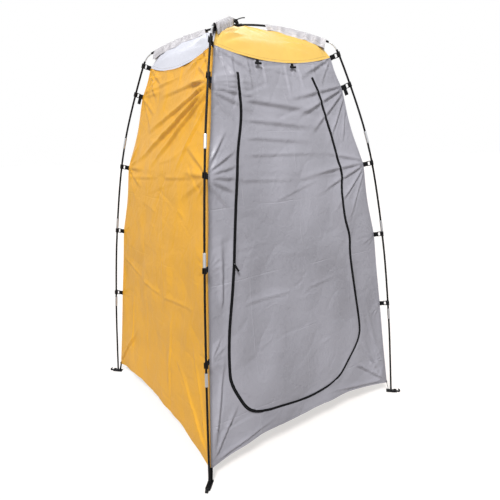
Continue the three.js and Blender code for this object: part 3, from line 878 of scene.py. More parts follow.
front_grid = wall_grid("front", front_x, front_z, calm=1 - 0.85 * np.exp(-((off_zip / ZIP_CALM) ** 2)))
front_flat = np.stack([front_x, front_z], -1)
front_normals = grid_normals(front_grid)
DOOR_COLUMNS = slice(jamb_cells, jamb_cells + door_cells + 1)
print("door wall grid", front_grid.shape, "splits", splits)

# %% The wall around the door
keep = np.ones((len(levels) - 1, columns.shape[1] - 1), dtype=bool)
keep[bottom_row:top_row, jamb_cells:jamb_cells + door_cells] = False
front_edge = edge_distances(front_x, front_z, shares)
front_wall = sheet_mesh("cloth_front", front_grid, front_flat, GREY, keep=keep.ravel(), edge=front_edge,
                        run=np.where(np.abs(shares) > 0.9, front_z, front_x))
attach(front_wall, "frame")
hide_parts("wall_front")

# %% [markdown]
# The door's cloth is one sheet on the real tent. Here it is cut at the middle of each fold of the roll. The
# last piece rides on the last fold's body, and the others stay where they are made. Neighbours share their
# edge points, so no gap opens.

# %% The door's cloth
DOOR_BODIES = ["frame", "door_1", "door_2", "door_3", "door_4", "door_5"]


def carry_door_piece(obj, i):
    """Leaves piece i where it is made, or rides it on the last body."""
    if i < 5:
        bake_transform(obj)
    else:
        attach(obj, DOOR_BODIES[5])


for i, (high_row, low_row) in enumerate(zip(splits, splits[1:])):
    rows = slice(low_row, high_row + 1)
    part = (rows, DOOR_COLUMNS)
    piece = sheet_mesh(f"door_cloth_{i + 1}", front_grid[part], front_flat[part], GREY,
                       normals=front_normals[part])
    carry_door_piece(piece, i)
    if i < 5:
        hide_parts(DOOR_PARTS[i])
    print(piece.name, "from", round(float(levels[high_row]), 3), "to", round(float(levels[low_row]), 3))

# %% [markdown]
# ## The zip
# A coil zip is two woven tapes, one sewn to each edge of the cut, with a toothed coil down the middle. Each
# half follows the cut's own points: out to the wall side on the frame, in to the door side on the door. The
# teeth are one small block set down hundreds of times, alternately from each side.

# %% The line of the cut
WALL_LEAN = -0.11


def run_along(points):
    """How far along a line of points each of them is."""
    return np.concatenate([[0], np.cumsum(np.linalg.norm(np.diff(points, axis=0), axis=1))])


def cut_line(first_row, last_row, bottom):
    """Points, outward directions and normals down the left run, along the bottom and up the right run."""
    left = [(row, jamb_cells) for row in range(first_row, last_row, -1)]
    right = [(row, jamb_cells + door_cells) for row in range(last_row, first_row + 1)]
    low = [(bottom_row, c) for c in range(jamb_cells, jamb_cells + door_cells)] if bottom else []
    runs = [left + low + right] if bottom else [left + [(last_row, jamb_cells)], right]
    found = []
    for run in runs:
        points = np.array([front_grid[row, column] for row, column in run])
        along = np.gradient(points, axis=0)
        along /= np.linalg.norm(along, axis=1)[:, None] + 1e-12
        for _ in range(2):
            along[1:-1] = (along[:-2] + 2 * along[1:-1] + along[2:]) / 4
        face = np.tile([0.0, -1.0, WALL_LEAN], (len(points), 1))
        face /= np.linalg.norm(face, axis=1)[:, None]
        out = np.cross(along, face)
        middle = np.array([DOOR_MIDDLE, 0, 0.9])
        outward = np.sign(np.sum(out * (points - middle), axis=1))
        found.append((points, out * np.median(outward), face))
    return found


ZIP_HALF = 0.0072


def tape_strip(name, line, side, material):
    points, out, face = line
    offsets = (0.0006, 0.0030, 0.0066, ZIP_HALF)
    lifts = (0.0016, 0.0013, 0.0011, 0.0004)
    grid = np.stack([points + side * out * o + face * lift for o, lift in zip(offsets, lifts)], axis=1)
    flat = np.stack(np.meshgrid(offsets, run_along(points)), -1)
    if side * np.sign(np.dot(np.cross(out[0], points[1] - points[0]), face[0])) < 0:
        grid, flat = grid[:, ::-1], flat[:, ::-1]
    return sheet_mesh(name, grid, flat, material, thickness=0.0008)


TOOTH_PITCH = 0.0030


def teeth(name, line, side, material):
    points, out, face = line
    length = run_along(points)
    marks = np.arange(TOOTH_PITCH / 2 + (TOOTH_PITCH / 2 if side > 0 else 0), length[-1], TOOTH_PITCH)
    centre, side_way, up = (np.stack([np.interp(marks, length, field[:, k]) for k in range(3)], axis=1)
                            for field in (points, out, face))
    forward = np.cross(up, side_way)
    verts, faces = [], []
    for a in (-0.0005, 0.0006):
        for b in (-0.0002, 0.0020):
            for c in (0.0012, 0.0026):
                verts.append(centre + forward * a + side_way * side * b + up * c)
    verts = np.stack(verts, axis=1)
    block = [(0, 1, 3, 2), (4, 6, 7, 5), (0, 4, 5, 1), (2, 3, 7, 6), (0, 2, 6, 4), (1, 5, 7, 3)]
    for i in range(len(marks)):
        faces += [tuple(8 * i + corner for corner in quad) for quad in block]
    mesh = bpy.data.meshes.new(name)
    mesh.from_pydata(verts.reshape(-1, 3).tolist(), [], faces)
    obj = linked(name, mesh)
    mesh.materials.append(material)
    pick(obj)
    bpy.ops.object.mode_set(mode="EDIT")
    bpy.ops.mesh.select_all(action="SELECT")
    bpy.ops.mesh.normals_make_consistent(inside=False)
    bpy.ops.object.mode_set(mode="OBJECT")
    return obj

# %% Frame half and door half
frame_line = cut_line(top_row, bottom_row, True)[0]
zip_frame = tape_strip("zip_tape_frame", frame_line, 1, ZIP_TAPE)
zip_teeth = teeth("zip_teeth_frame", frame_line, 1, COIL)
for obj in (zip_frame, zip_teeth):
    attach(obj, "frame")
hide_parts("zip_track")

for i, (high_row, low_row) in enumerate(zip(splits, splits[1:])):
    for k, line in enumerate(cut_line(high_row, low_row, i == 5)):
        strip = tape_strip(f"zip_tape_door_{i + 1}_{k + 1}", line, -1, ZIP_TAPE)
        coil = teeth(f"zip_teeth_door_{i + 1}_{k + 1}", line, -1, COIL)
        for obj in (strip, coil):
            carry_door_piece(obj, i)

# %% [markdown]
# ## The roof
# Four panels rise from the walls' top edges to the crown, each hanging in a shallow curve between two
# ridges that the sleeves hold up. The ridge and the middle line are measured from the design's panels, and
# the cloth is swept between them with its own folds.

# %% Roof panels
def smooth_rows(rows, at):
    """Values between rows on a smooth curve through them."""
    rows = np.asarray(rows)
    i = np.clip(np.floor(at).astype(int), 0, len(rows) - 2)
    t = (at - i)[:, None]
    before, after = rows[np.clip(i - 1, 0, None)], rows[np.clip(i + 2, None, len(rows) - 1)]
    a, b = rows[i], rows[i + 1]
    lean_a, lean_b = (b - before) / 2, (after - a) / 2
    return (2 * t**3 - 3 * t**2 + 1) * a + (t**3 - 2 * t**2 + t) * lean_a + (3 * t**2 - 2 * t**3) * b + \
        (t**3 - t**2) * lean_b


def roof_lines():
    """The front panel's ridge and middle line, as rows of distance out and height from the crown out."""
    points = points_of("roof_front")
    ridge, middle = {}, {}
    for x, y, z in points:
        if abs(abs(x) + y) < 0.0012:
            key = round(-y, 3)
            ridge[key] = max(ridge.get(key, 0), z)
        if abs(x) < 0.0005:
            key = round(-y, 3)
            middle[key] = max(middle.get(key, 0), z)
    return np.array(sorted(ridge.items())), np.array(sorted(middle.items()))


RIDGE, MIDDLE = roof_lines()
print("roof rows", len(RIDGE), len(MIDDLE))

ROOF_FOLDS = [
    ((0.98, 0.98), (0.20, 0.92), 0.013, 0.0060),
    ((0.98, 0.96), (0.25, 0.82), 0.014, 0.0065),
    ((0.98, 0.94), (0.35, 0.70), 0.014, 0.0060),
    ((0.97, 0.92), (0.45, 0.56), 0.014, 0.0055),
    ((0.96, 0.90), (0.60, 0.42), 0.013, 0.0050),
    ((-0.98, 0.98), (-0.35, 0.90), 0.014, 0.0055),
    ((-0.98, 0.95), (-0.45, 0.72), 0.014, 0.0055),
    ((-0.97, 0.92), (-0.60, 0.50), 0.014, 0.0050),
    ((0.05, 0.12), (0.35, 0.60), 0.018, 0.0040),
    ((-0.05, 0.12), (-0.30, 0.62), 0.018, 0.0040),
    ((0.00, 0.10), (0.06, 0.70), 0.020, 0.0035),
]


ROOF_NARROW, ROOF_HIGH = 0.8, 2.2


def roof_panel(side, material, slot):
    rows = 56
    down = np.linspace(0, 1, rows)
    across = np.linspace(-1, 1, rows + 20)
    ridge = smooth_rows(RIDGE, down * (len(RIDGE) - 1))
    middle = smooth_rows(MIDDLE, down * (len(MIDDLE) - 1))
    hang = (1 - across**2)[None, :]
    x = across[None, :] * ridge[:, :1]
    y = -(ridge[:, :1] + (middle[:, :1] - ridge[:, :1]) * hang)
    z = ridge[:, 1:] + (middle[:, 1:] - ridge[:, 1:]) * hang
    seed = 70 + list(WALL_TURN).index(side)
    share = np.repeat(across[None, :], rows, axis=0)
    deep = np.repeat(down[:, None], rows + 20, axis=1)
    relief_here = 0.0060 * billow(x, y, 0.20, seed) + 0.0012 * crinkle(x, y, 0.12, seed + 5)
    for (u0, v0), (u1, v1), width, height in ROOF_FOLDS:
        start = (u0 * 0.31 * v0, -0.32 * v0)
        end = (u1 * 0.31 * v1, -0.32 * v1)
        relief_here += ROOF_HIGH * fold(x, y, start, end, ROOF_NARROW * width, height)
    fade = (1 - share**8) * np.clip(deep * 6, 0, 1) * np.clip((1 - deep) * 12, 0.1, 1)
    grid = np.stack([x, y, z + relief_here * fade], axis=-1)[::-1]
    flat = np.stack([x, y], -1)[::-1]
    edge = np.minimum((1 - deep) * 0.32, (1 - np.abs(share)) * ridge[:, :1] * 0.7)[::-1]
    panel = sheet_mesh(f"roof_cloth_{side}", turned(grid, side), flat, material, edge=edge, run=x[::-1])
    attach(panel, "frame")
    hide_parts(f"roof_{side}")
    return panel


ROOF = []
for side in WALL_TURN:
    # The front and back panels take the paler copy of the yellow, which paints the roof's sheen and the light
    # through it.
    look = (PALE, "pale_cloth") if side in ("left", "right") else (ROOF_YELLOW_PAINTED_SHEEN, "yellow_cloth")
    ROOF.append(roof_panel(side, *look))

# %% [markdown]
# ## Pole centre lines
# A rod is a plain cylinder bent along its arch. Its centre line is measured from the design's own solid:
# the vertices lie in rings, so sorting them along the rod and averaging each ring gives the line.

# %% Centre lines
def centre_line(name, gap=0.004):
    points = points_of(name)
    middle = points.mean(axis=0)
    axis = np.linalg.svd(points - middle, full_matrices=False)[2][0]
    place = (points - middle) @ axis
    order = np.argsort(place)
    groups = np.split(order, np.where(np.diff(place[order]) > gap)[0] + 1)
    line = np.array([np.unique(np.round(points[g], 5), axis=0).mean(axis=0) for g in groups])
    if line[0][2] > line[-1][2]:
        line = line[::-1]
    return line


def tube(name, line, radius, material, sides=3):
    """A round bar along a line of points, with flat closed ends."""
    curve = bpy.data.curves.new(name, "CURVE")
    curve.dimensions = "3D"
    curve.bevel_depth = radius
    curve.bevel_resolution = sides
    curve.use_fill_caps = True
    spline = curve.splines.new("POLY")
    spline.points.add(len(line) - 1)
    for point, place in zip(spline.points, line):
        point.co = (*place, 1)
    obj = linked(name, curve)
    pick(obj)
    bpy.ops.object.convert(target="MESH")
    obj = bpy.context.object
    obj.data.materials.clear()
    obj.data.materials.append(material)
    modify(obj, "WELD", merge_threshold=0.00001)
    return smooth(obj, 50)


def even_line(line, count):
    """The same line with evenly spaced points on a smooth curve through the given ones."""
    steps = run_along(line)
    at = np.interp(np.linspace(0, steps[-1], count), steps, np.arange(len(line)))
    return smooth_rows(line, at)

# %% [markdown]
# ## Rods, ferrules and elbows
# The rods are resin-bound glass fibre, black and faintly glossy. A ferrule is a short steel tube with a
# rolled rim, glued over the end of one rod for the next to slide into. It is modelled once, upright: an
# open cylinder with its rims pushed out, given a wall by Solidify and rounded by Bevel. The two at the
# crown are black.

# %% The ferrule
FERRULE_LENGTH = 0.056
FERRULE_RADIUS = 0.0062


def make_ferrule():
    bpy.ops.object.select_all(action="DESELECT")
    bpy.ops.mesh.primitive_cylinder_add(vertices=28, radius=FERRULE_RADIUS, depth=FERRULE_LENGTH,
                                        end_fill_type="NOTHING")
    obj = named("ferrule_pattern", STEEL)
    bpy.ops.object.mode_set(mode="EDIT")
    bpy.ops.mesh.select_all(action="SELECT")
    bpy.ops.mesh.subdivide(number_cuts=7)
    bpy.ops.object.mode_set(mode="OBJECT")
    for vertex in obj.data.vertices:
        end = FERRULE_LENGTH / 2 - abs(vertex.co.z)
        rim = 1 + 0.05 * math.exp(-((end / 0.002) ** 2)) - 0.035 * math.exp(-(((end - 0.012) / 0.003) ** 2))
        spoke = math.hypot(vertex.co.x, vertex.co.y)
        vertex.co.x *= rim * FERRULE_RADIUS / spoke
        vertex.co.y *= rim * FERRULE_RADIUS / spoke
    modify(obj, "SOLIDIFY", thickness=0.0009, offset=-1)
    modify(obj, "BEVEL", width=0.0003, segments=2, limit_method="ANGLE", angle_limit=math.radians(50))
    return smooth(obj, 50)


FERRULE = make_ferrule()


def place_along(pattern, name, place, direction):
    obj = copy_of(pattern, name)
    turn = Vector(direction).to_track_quat("Z", "Y").to_matrix().to_4x4()
    obj.data.transform(Matrix.Translation(Vector(place)) @ turn)
    return obj


def on_frame(obj, slot, *replaced):
    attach(obj, "frame")
    if replaced:
        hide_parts(*replaced)
    return obj

# %% Legs, shoulders and roof rods
ROD_RADIUS = 0.00475
ELBOW_RADIUS = 0.0032
leg_lines = {}
roof_rod_lines = {}

for corner in CORNERS:
    lines = [centre_line(f"leg_rod_{corner}_{i}") for i in range(1, 5)]
    leg_lines[corner] = np.concatenate(lines)
    for i, line in enumerate(lines):
        on_frame(tube(f"rod_{corner}_{i + 1}", even_line(line, 14), ROD_RADIUS, ROD), "rod",
                 f"leg_rod_{corner}_{i + 1}")
        if i > 0:
            sleeve = place_along(FERRULE, f"ferrule_{corner}_{i}", line[0], line[1] - line[0])
            on_frame(sleeve, "steel")
    elbow = even_line(centre_line(f"shoulder_elbow_{corner}", 0.003), 26)
    on_frame(tube(f"elbow_{corner}", elbow, ELBOW_RADIUS, STEEL), "steel", f"shoulder_elbow_{corner}")
    roof_line = centre_line(f"roof_rod_{corner}")
    reach = np.hypot(roof_line[:, 0], roof_line[:, 1])
    roof_line = roof_line[np.argsort(-reach)]
    roof_pole = tube(f"roof_pole_{corner}", even_line(roof_line, 22), ROD_RADIUS, ROD)
    on_frame(roof_pole, "rod", f"roof_rod_{corner}")
    roof_rod_lines[corner] = roof_line
    if corner.startswith("front"):
        angle = math.radians(CORNERS[corner])
        crown = (0, 0, float(roof_line[-1][2]))
        joint = place_along(FERRULE, f"crown_ferrule_{corner}", crown, (math.cos(angle), math.sin(angle), 0))
        joint.data.materials.clear()
        joint.data.materials.append(PLASTIC)
        on_frame(joint, "plastic")
print("poles done")

# %% [markdown]
# ## Sleeves
# Each sleeve is a strip of light cloth laid over a roof rod and sewn down to the roof on both sides. It is
# longer than the space it fills, so it gathers in slanting folds. A section of it is short: round over the
# rod, then straight down to the roof. The roof's height at the sewn line is found by casting a ray down
# onto the roof panels, so the strip lies on them whatever their folds are.

# %% The roof as one surface
def roof_surface():
    verts, faces = [], []
    for panel in ROOF:
        first = len(verts)
        verts += [tuple(vertex.co) for vertex in panel.data.vertices]
        faces += [tuple(first + i for i in face.vertices) for face in panel.data.polygons]
    return BVHTree.FromPolygons(verts, faces)


ROOF_SURFACE = roof_surface()


def roof_height(x, y, otherwise):
    hit = ROOF_SURFACE.ray_cast(Vector((x, y, 2.3)), Vector((0, 0, -1)))[0]
    return hit.z if hit else otherwise

# %% Sleeves
# The sleeve's rise over the rod's centre line, its half width, how far it may hang below that line, and how
# much narrower the front left one lies.
SLEEVE_OVER = 0.0070
SLEEVE_HALF = 0.035
SLEEVE_DROP = 0.036
SLEEVE_NARROW = {"front_left": 0.72}
SLEEVE_ROWS = 130


def corner_ways(corner):
    """The directions out to a corner and square to that, seen from above."""
    angle = math.radians(CORNERS[corner])
    return np.array([math.cos(angle), math.sin(angle)]), np.array([-math.sin(angle), math.cos(angle)])


def gathers(t, u, seed):
    """Slanting folds along (t) and across (u) a gathered strip, from eight seeded waves."""
    random = np.random.default_rng(seed)
    total = np.zeros_like(t)
    for _ in range(8):
        beats, slant = random.uniform(2.5, 9), random.uniform(-4.5, 4.5)
        total += np.sin(2 * math.pi * t * beats + slant * u + random.uniform(0, 6))
    return np.sign(total) * (np.abs(total) / 2.8) ** 0.8


def make_sleeve(corner, seed):
    low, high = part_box(f"sleeve_{corner}")
    reach_out = max(abs(low[0]), abs(high[0])) * math.sqrt(2) + 0.004
    reach_in = min(abs(low[0]), abs(high[0])) * math.sqrt(2)
    line = roof_rod_lines[corner]
    reaches = np.hypot(line[:, 0], line[:, 1])
    along = np.linspace(reach_out, reach_in, SLEEVE_ROWS)
    order = np.argsort(reaches)
    heights = np.interp(along, reaches[order], line[order, 2])
    outward, sideways = corner_ways(corner)
    t, u = np.meshgrid(np.linspace(0, 1, SLEEVE_ROWS), np.linspace(-1, 1, 37), indexing="ij")
    gather = gathers(t, u, seed)
    narrow = SLEEVE_NARROW.get(corner, 1.0)
    taper = narrow * (0.45 + 0.55 * ease(t / 0.30)) * (0.75 + 0.25 * ease((1 - t) / 0.2))
    hem = SLEEVE_HALF * taper * (1 + 0.07 * np.sin(9 * t + seed) * np.abs(u))
    aside = u * hem
    flank = np.clip((np.abs(aside) - 0.0045) / (hem - 0.0045), 0, 1)
    over = np.sqrt(np.clip(SLEEVE_OVER**2 - aside**2, 0.0051**2, None))
    crest = heights[:, None] + over
    sewn = np.zeros((SLEEVE_ROWS, 2))
    for row in range(SLEEVE_ROWS):
        for k, edge_side in enumerate((-1, 1)):
            x, y = outward * along[row] + sideways * edge_side * hem[row, -1]
            lowest = heights[row] - SLEEVE_DROP
            sewn[row, k] = max(roof_height(x, y, lowest) + 0.0012, lowest)
    for _ in range(4):
        sewn[1:-1] = (sewn[:-2] + 2 * sewn[1:-1] + sewn[2:]) / 4
    foot = np.where(u < 0, sewn[:, :1], sewn[:, 1:])
    puff = np.sin(math.pi * flank) * (0.0042 + 0.0034 * gather) + 0.0005 * gather
    reach = along[:, None] + 0.005 * np.sin(3 * u + seed) * (np.exp(-t * 16) - np.exp(-(1 - t) * 16))
    grid = np.zeros((*t.shape, 3))
    grid[..., :2] = outward * reach[..., None] + sideways * (aside + 0.6 * np.sign(u) * puff)[..., None]
    grid[..., 2] = crest * (1 - flank) + foot * flank + puff
    flat = np.stack([aside * 1.3, reach * 1.3], -1)
    edge = np.minimum(1 - np.abs(u), 1.0) * SLEEVE_HALF
    sleeve = sheet_mesh(f"sleeve_cloth_{corner}", grid, flat, SLEEVE, edge=edge, run=reach, thickness=0.0007)
    on_frame(sleeve, "sleeve_cloth", f"sleeve_{corner}")


for seed, corner in enumerate(CORNERS):
    make_sleeve(corner, seed + 1)

# %% [markdown]
# ## Straps
# Five straps tie each canopy corner to its pole. A strap is a short doubled webbing tab sewn into the
# corner seam, and a moulded hook that clips round the rod, with a window that the webbing passes through.
# It is modelled once, lying along X with the rod at the origin, then copied to all twenty places.

# %% The hook and its tab
STRAP_REACH = 0.042


def box_piece(name, size, place, material, bevel=0.0006):
    bpy.ops.object.select_all(action="DESELECT")
    bpy.ops.mesh.primitive_cube_add(size=1, location=place)
    obj = named(name, material)
    obj.scale = size
    settle(obj)
    return modify(obj, "BEVEL", width=bevel, segments=2)


def open_ring(name, radius, depth, wall, mouth, material):
    """A short tube with a mouth cut in its far side: a clip."""
    bpy.ops.object.select_all(action="DESELECT")
    bpy.ops.mesh.primitive_cylinder_add(vertices=40, radius=radius, depth=depth, end_fill_type="NOTHING")
    obj = named(name, material)
    bpy.ops.object.mode_set(mode="EDIT")
    bpy.ops.mesh.select_all(action="DESELECT")
    bpy.ops.mesh.select_mode(type="FACE")
    bpy.ops.object.mode_set(mode="OBJECT")
    for face in obj.data.polygons:
        face.select = math.degrees(math.atan2(abs(face.center.y), face.center.x)) < mouth / 2
    bpy.ops.object.mode_set(mode="EDIT")
    bpy.ops.mesh.delete(type="FACE")
    bpy.ops.object.mode_set(mode="OBJECT")
    modify(obj, "SOLIDIFY", thickness=wall, offset=-1)
    return modify(obj, "BEVEL", width=0.0006, segments=2, limit_method="ANGLE", angle_limit=math.radians(50))


def windowed_plate(name, size, place, material):
    """A plate whose two wide faces are inset and bridged through, which leaves a window."""
    bpy.ops.object.select_all(action="DESELECT")
    bpy.ops.mesh.primitive_cube_add(size=1, location=place)
    obj = named(name, material)
    obj.scale = size
    settle(obj)
    bpy.ops.object.mode_set(mode="EDIT")
    bpy.ops.mesh.select_mode(type="FACE")
    bpy.ops.mesh.select_all(action="DESELECT")
    bpy.ops.object.mode_set(mode="OBJECT")
    for face in obj.data.polygons:
        face.select = abs(face.normal.y) > 0.9
    bpy.ops.object.mode_set(mode="EDIT")
    bpy.ops.mesh.inset(thickness=0.0034)
    bpy.ops.mesh.bridge_edge_loops()
    bpy.ops.object.mode_set(mode="OBJECT")
    return modify(obj, "BEVEL", width=0.0005, segments=2, limit_method="ANGLE", angle_limit=math.radians(40))


def tape_uv(obj):
    """A flat pattern for a woven tab: straight on to its widest sides."""
    layer = obj.data.uv_layers.get("flat") or obj.data.uv_layers.new(name="flat")
    for loop in obj.data.loops:
        place = obj.data.vertices[loop.vertex_index].co
        layer.data[loop.index].uv = (place.x + place.y, place.z)


def make_strap():
    tab = box_piece("strap_tab", (0.0215, 0.0026, 0.022), (-0.0315, 0, 0), TAPE, 0.0008)
    fold_over = box_piece("strap_fold", (0.0045, 0.0056, 0.0212), (-0.0212, 0, 0), TAPE, 0.0018)
    sewn = box_piece("strap_sewn", (0.009, 0.0042, 0.0228), (-0.0373, 0, 0), TAPE, 0.0009)
    for piece in (tab, fold_over, sewn):
        tape_uv(piece)
    plate = windowed_plate("hook_plate", (0.0170, 0.0042, 0.0235), (-0.0152, 0, 0), PLASTIC)
    clip = open_ring("hook_clip", 0.0092, 0.0225, 0.0030, 95, PLASTIC)
    strap = join("strap_pattern", tab, fold_over, sewn, plate, clip)
    return smooth(strap, 40)


STRAP = make_strap()
LOOP = box_piece("loop_pattern", (0.016, 0.0034, 0.036), (0.013 - STRAP_REACH, 0, -0.021), TAPE, 0.0010)
tape_uv(LOOP)
smooth(LOOP, 40)

# %% [markdown]
# A strap stands square to its pole. The pole's lean at a strap comes from its centre line, at the point
# nearest to the canopy's knot, and a copy of the strap is turned by that lean and then round to its corner.

# %% Place the straps
def strap_matrix(corner, height, width):
    angle = math.radians(CORNERS[corner])
    line = leg_lines[corner]
    reach = np.hypot(line[:, 0], line[:, 1])
    order = np.argsort(line[:, 2])
    z_fine = np.linspace(height - 0.02, height + 0.06, 161)
    r_fine = np.interp(z_fine, line[order, 2], reach[order])
    gap = np.hypot(r_fine - width * math.sqrt(2), z_fine - height)
    best = int(np.argmin(gap))
    lean = math.atan2(r_fine[min(best + 8, 160)] - r_fine[max(best - 8, 0)], 16 * 0.0005)
    place = (r_fine[best] * math.cos(angle), r_fine[best] * math.sin(angle), z_fine[best])
    turn = Matrix.Rotation(angle, 4, "Z") @ Matrix.Rotation(lean, 4, "Y")
    return Matrix.Translation(place) @ turn


for corner in CORNERS:
    for i, (height, width) in enumerate(KNOTS[1:]):
        strap = copy_of(STRAP, f"strap_{corner}_{i + 1}")
        strap.data.transform(strap_matrix(corner, height, width))
        on_frame(strap, "webbing", *([f"corner_webbing_{corner}"] if i == 0 else []))
        if i == 3:
            hanging = copy_of(LOOP, f"tie_loop_{corner}")
            hanging.data.transform(strap_matrix(corner, height, width))
            on_frame(hanging, "webbing")
print("straps placed")

# %% [markdown]
# ## Corner seams and foot straps
# Where two walls meet, or a wall meets the roof, their edges are bound together in a narrow piped seam. It
# is a thin tube along the corner line or the wall's top edge. At the foot a wider webbing runs from the
# seam down to the foot piece. It is a narrow sheet swept along a smooth line through four places.

# %% Corner seams and foot straps
for side in WALL_TURN:
    share = np.linspace(-1, 1, 121)[None, :]
    height = top_line(share)
    seam_line = wall_grid(side, share * (half_width(height) - scallop(height)), height)[0]
    plain = side in ("front", "back")
    seam = tube(f"top_seam_{side}", seam_line, 0.0017, GREY if plain else YELLOW, sides=2)
    on_frame(seam, "grey_cloth" if plain else "yellow_cloth")

FOOT_ROWS = 26


def make_corner_seam(corner, reach, heights):
    outward, _ = corner_ways(corner)
    line = np.column_stack([reach[:, None] * outward, heights])
    grey = corner == "front_right"
    seam = tube(f"corner_seam_{corner}", line, 0.0013, GREY if grey else YELLOW, sides=2)
    on_frame(seam, "grey_cloth" if grey else "yellow_cloth")


def make_foot_strap(corner, seam_reach):
    outward, sideways = corner_ways(corner)
    foot_reach = math.hypot(*leg_lines[corner][0][:2])
    marks = [(seam_reach + 0.0012, HEM + 0.010), (seam_reach + 0.0022, HEM - 0.004),
             (foot_reach - 0.0150, 0.017), (foot_reach - 0.0135, 0.0078)]
    marks = smooth_rows(np.array(marks), np.linspace(0, 3, FOOT_ROWS))
    width = np.linspace(-0.0095, 0.0095, 7)
    grid = np.zeros((FOOT_ROWS, 7, 3))
    grid[..., :2] = (outward * marks[:, :1])[:, None, :] + sideways * width[None, :, None]
    grid[..., 2] = marks[:, 1:]
    flat = np.stack(np.meshgrid(width, np.linspace(0, 0.06, FOOT_ROWS)), -1)
    strap = sheet_mesh(f"foot_strap_{corner}", grid[::-1], flat, TAPE, thickness=0.0022)
    on_frame(strap, "webbing")


for corner in CORNERS:
    heights = np.linspace(HEM, TOP, 90)
    reach = (half_width(heights) - scallop(heights)) * math.sqrt(2) + 0.0002
    make_corner_seam(corner, reach, heights)
    make_foot_strap(corner, reach[0])
print("seams and foot straps placed")

# %% [markdown]
# ## Crown tie
# Where the arches cross, a narrow tape from the roof's peak loops over both rods and is knotted on top,
# with one black and one pale end left standing. The loop is a bent band, the knot is two small wound rings,
# and the ends are thin bars on a curve.

# %% Crown tie
def knot_ring(place, turn, radius, thickness):
    bpy.ops.object.select_all(action="DESELECT")
    bpy.ops.mesh.primitive_torus_add(location=place, rotation=turn, major_radius=radius,
                                     minor_radius=thickness, major_segments=24, minor_segments=12)
    return settle(named("knot_ring", TAPE))


def tie_end(name, top, reach, arch, radius, material):
    """One loose end of the tie, from the knot out to its tip in a low arch."""
    steps = np.linspace(0, 1, 12)[:, None]
    line = np.array([0, 0, top]) + steps * np.array(reach)
    line[:, 2] += arch * np.sin(math.pi * steps[:, 0])
    return tube(name, line, radius, material)


def make_crown_tie():
    low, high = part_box("crown_tie")
    top = high[2] - 0.0090
    centre = (low[2] + top) / 2
    turns = np.linspace(0, 2 * math.pi, 33)
    across = np.linspace(-0.0045, 0.0045, 4)
    tall, wide = (top - low[2]) / 2, 0.0125
    grid = np.zeros((33, 4, 3))
    grid[..., 0] = (wide * np.sin(turns))[:, None]
    grid[..., 1] = across[None, :]
    grid[..., 2] = (centre + tall * np.cos(turns))[:, None]
    flat = np.stack(np.meshgrid(across, turns * wide), -1)
    band = sheet_mesh("crown_band", grid, flat, TAPE, thickness=0.0009)
    on_frame(band, "webbing", "crown_tie")
    rings = [knot_ring((0, 0, top + 0.001), (0.5, 0.4, 0), 0.0046, 0.0029),
             knot_ring((0.002, -0.001, top - 0.001), (-0.6, 0.9, 0), 0.0040, 0.0027)]
    knot = join("crown_knot", *rings)
    tape_uv(knot)
    on_frame(smooth(knot, 60), "webbing")
    black = tie_end("tie_end_black", top, (0.036, -0.024, 0.010), 0.003, 0.0024, TAPE)
    on_frame(black, "webbing")
    pale = tie_end("tie_end_pale", top, (-0.034, 0.022, 0.003), 0.010, 0.0022, SLEEVE)
    on_frame(pale, "sleeve_cloth")


make_crown_tie()

# %% [markdown]
# ## Toggles and the zip's pull
# Two toggles under the roof's edge hold the rolled door. Each is a short barrel with a waist, on a tape
# loop. The zip's pull is a soft tab with a stitched end, on a small ring, and it hangs a little to one
# side. Both are modelled around their own pivot and set down at the joint's place.

# %% Toggles
DOOR_TOP = levels[top_row]
LEAN = math.atan2(half_width(DOOR_TOP) - half_width(TOP), TOP - DOOR_TOP)
BARREL_PLACE = (0, -0.0065, -0.0165)


def make_toggle(name, pivot):
    bpy.ops.object.select_all(action="DESELECT")
    bpy.ops.mesh.primitive_cylinder_add(vertices=24, radius=0.0047, depth=0.030, location=BARREL_PLACE,
                                        rotation=(0, math.pi / 2, 0))
    barrel = settle(named("barrel", PLASTIC))
    bpy.ops.object.mode_set(mode="EDIT")
    bpy.ops.mesh.select_all(action="SELECT")
    for cut in (-0.0105, -0.0045, 0, 0.0045, 0.0105):
        bpy.ops.mesh.bisect(plane_co=(cut, 0, 0), plane_no=(1, 0, 0))
        bpy.ops.mesh.select_all(action="SELECT")
    bpy.ops.object.mode_set(mode="OBJECT")
    for vertex in barrel.data.vertices:
        waist = 1 - 0.30 * math.exp(-((vertex.co.x / 0.004) ** 2)) + 0.06 * (abs(vertex.co.x) / 0.015) ** 2
        vertex.co.y = BARREL_PLACE[1] + (vertex.co.y - BARREL_PLACE[1]) * waist
        vertex.co.z = BARREL_PLACE[2] + (vertex.co.z - BARREL_PLACE[2]) * waist
    modify(barrel, "BEVEL", width=0.0010, segments=3, limit_method="ANGLE", angle_limit=math.radians(50))
    loop = box_piece("loop", (0.0140, 0.0026, 0.0185), (0, -0.0030, -0.0080), TAPE, 0.0008)
    tape_uv(loop)
    toggle = smooth(join(name, barrel, loop), 45)
    toggle.data.transform(Matrix.Translation(Vector(pivot)) @ Matrix.Rotation(-LEAN, 4, "X"))
    return toggle


for i in (1, 2):
    toggle = make_toggle(f"door_toggle_{i}", hinges[f"toggle_hinge_{i}"]["pos_m"])
    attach(toggle, f"toggle_{i}")
    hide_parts(f"toggle_{i}")

# %% The zip's pull
PULL_TILT = math.radians(24)


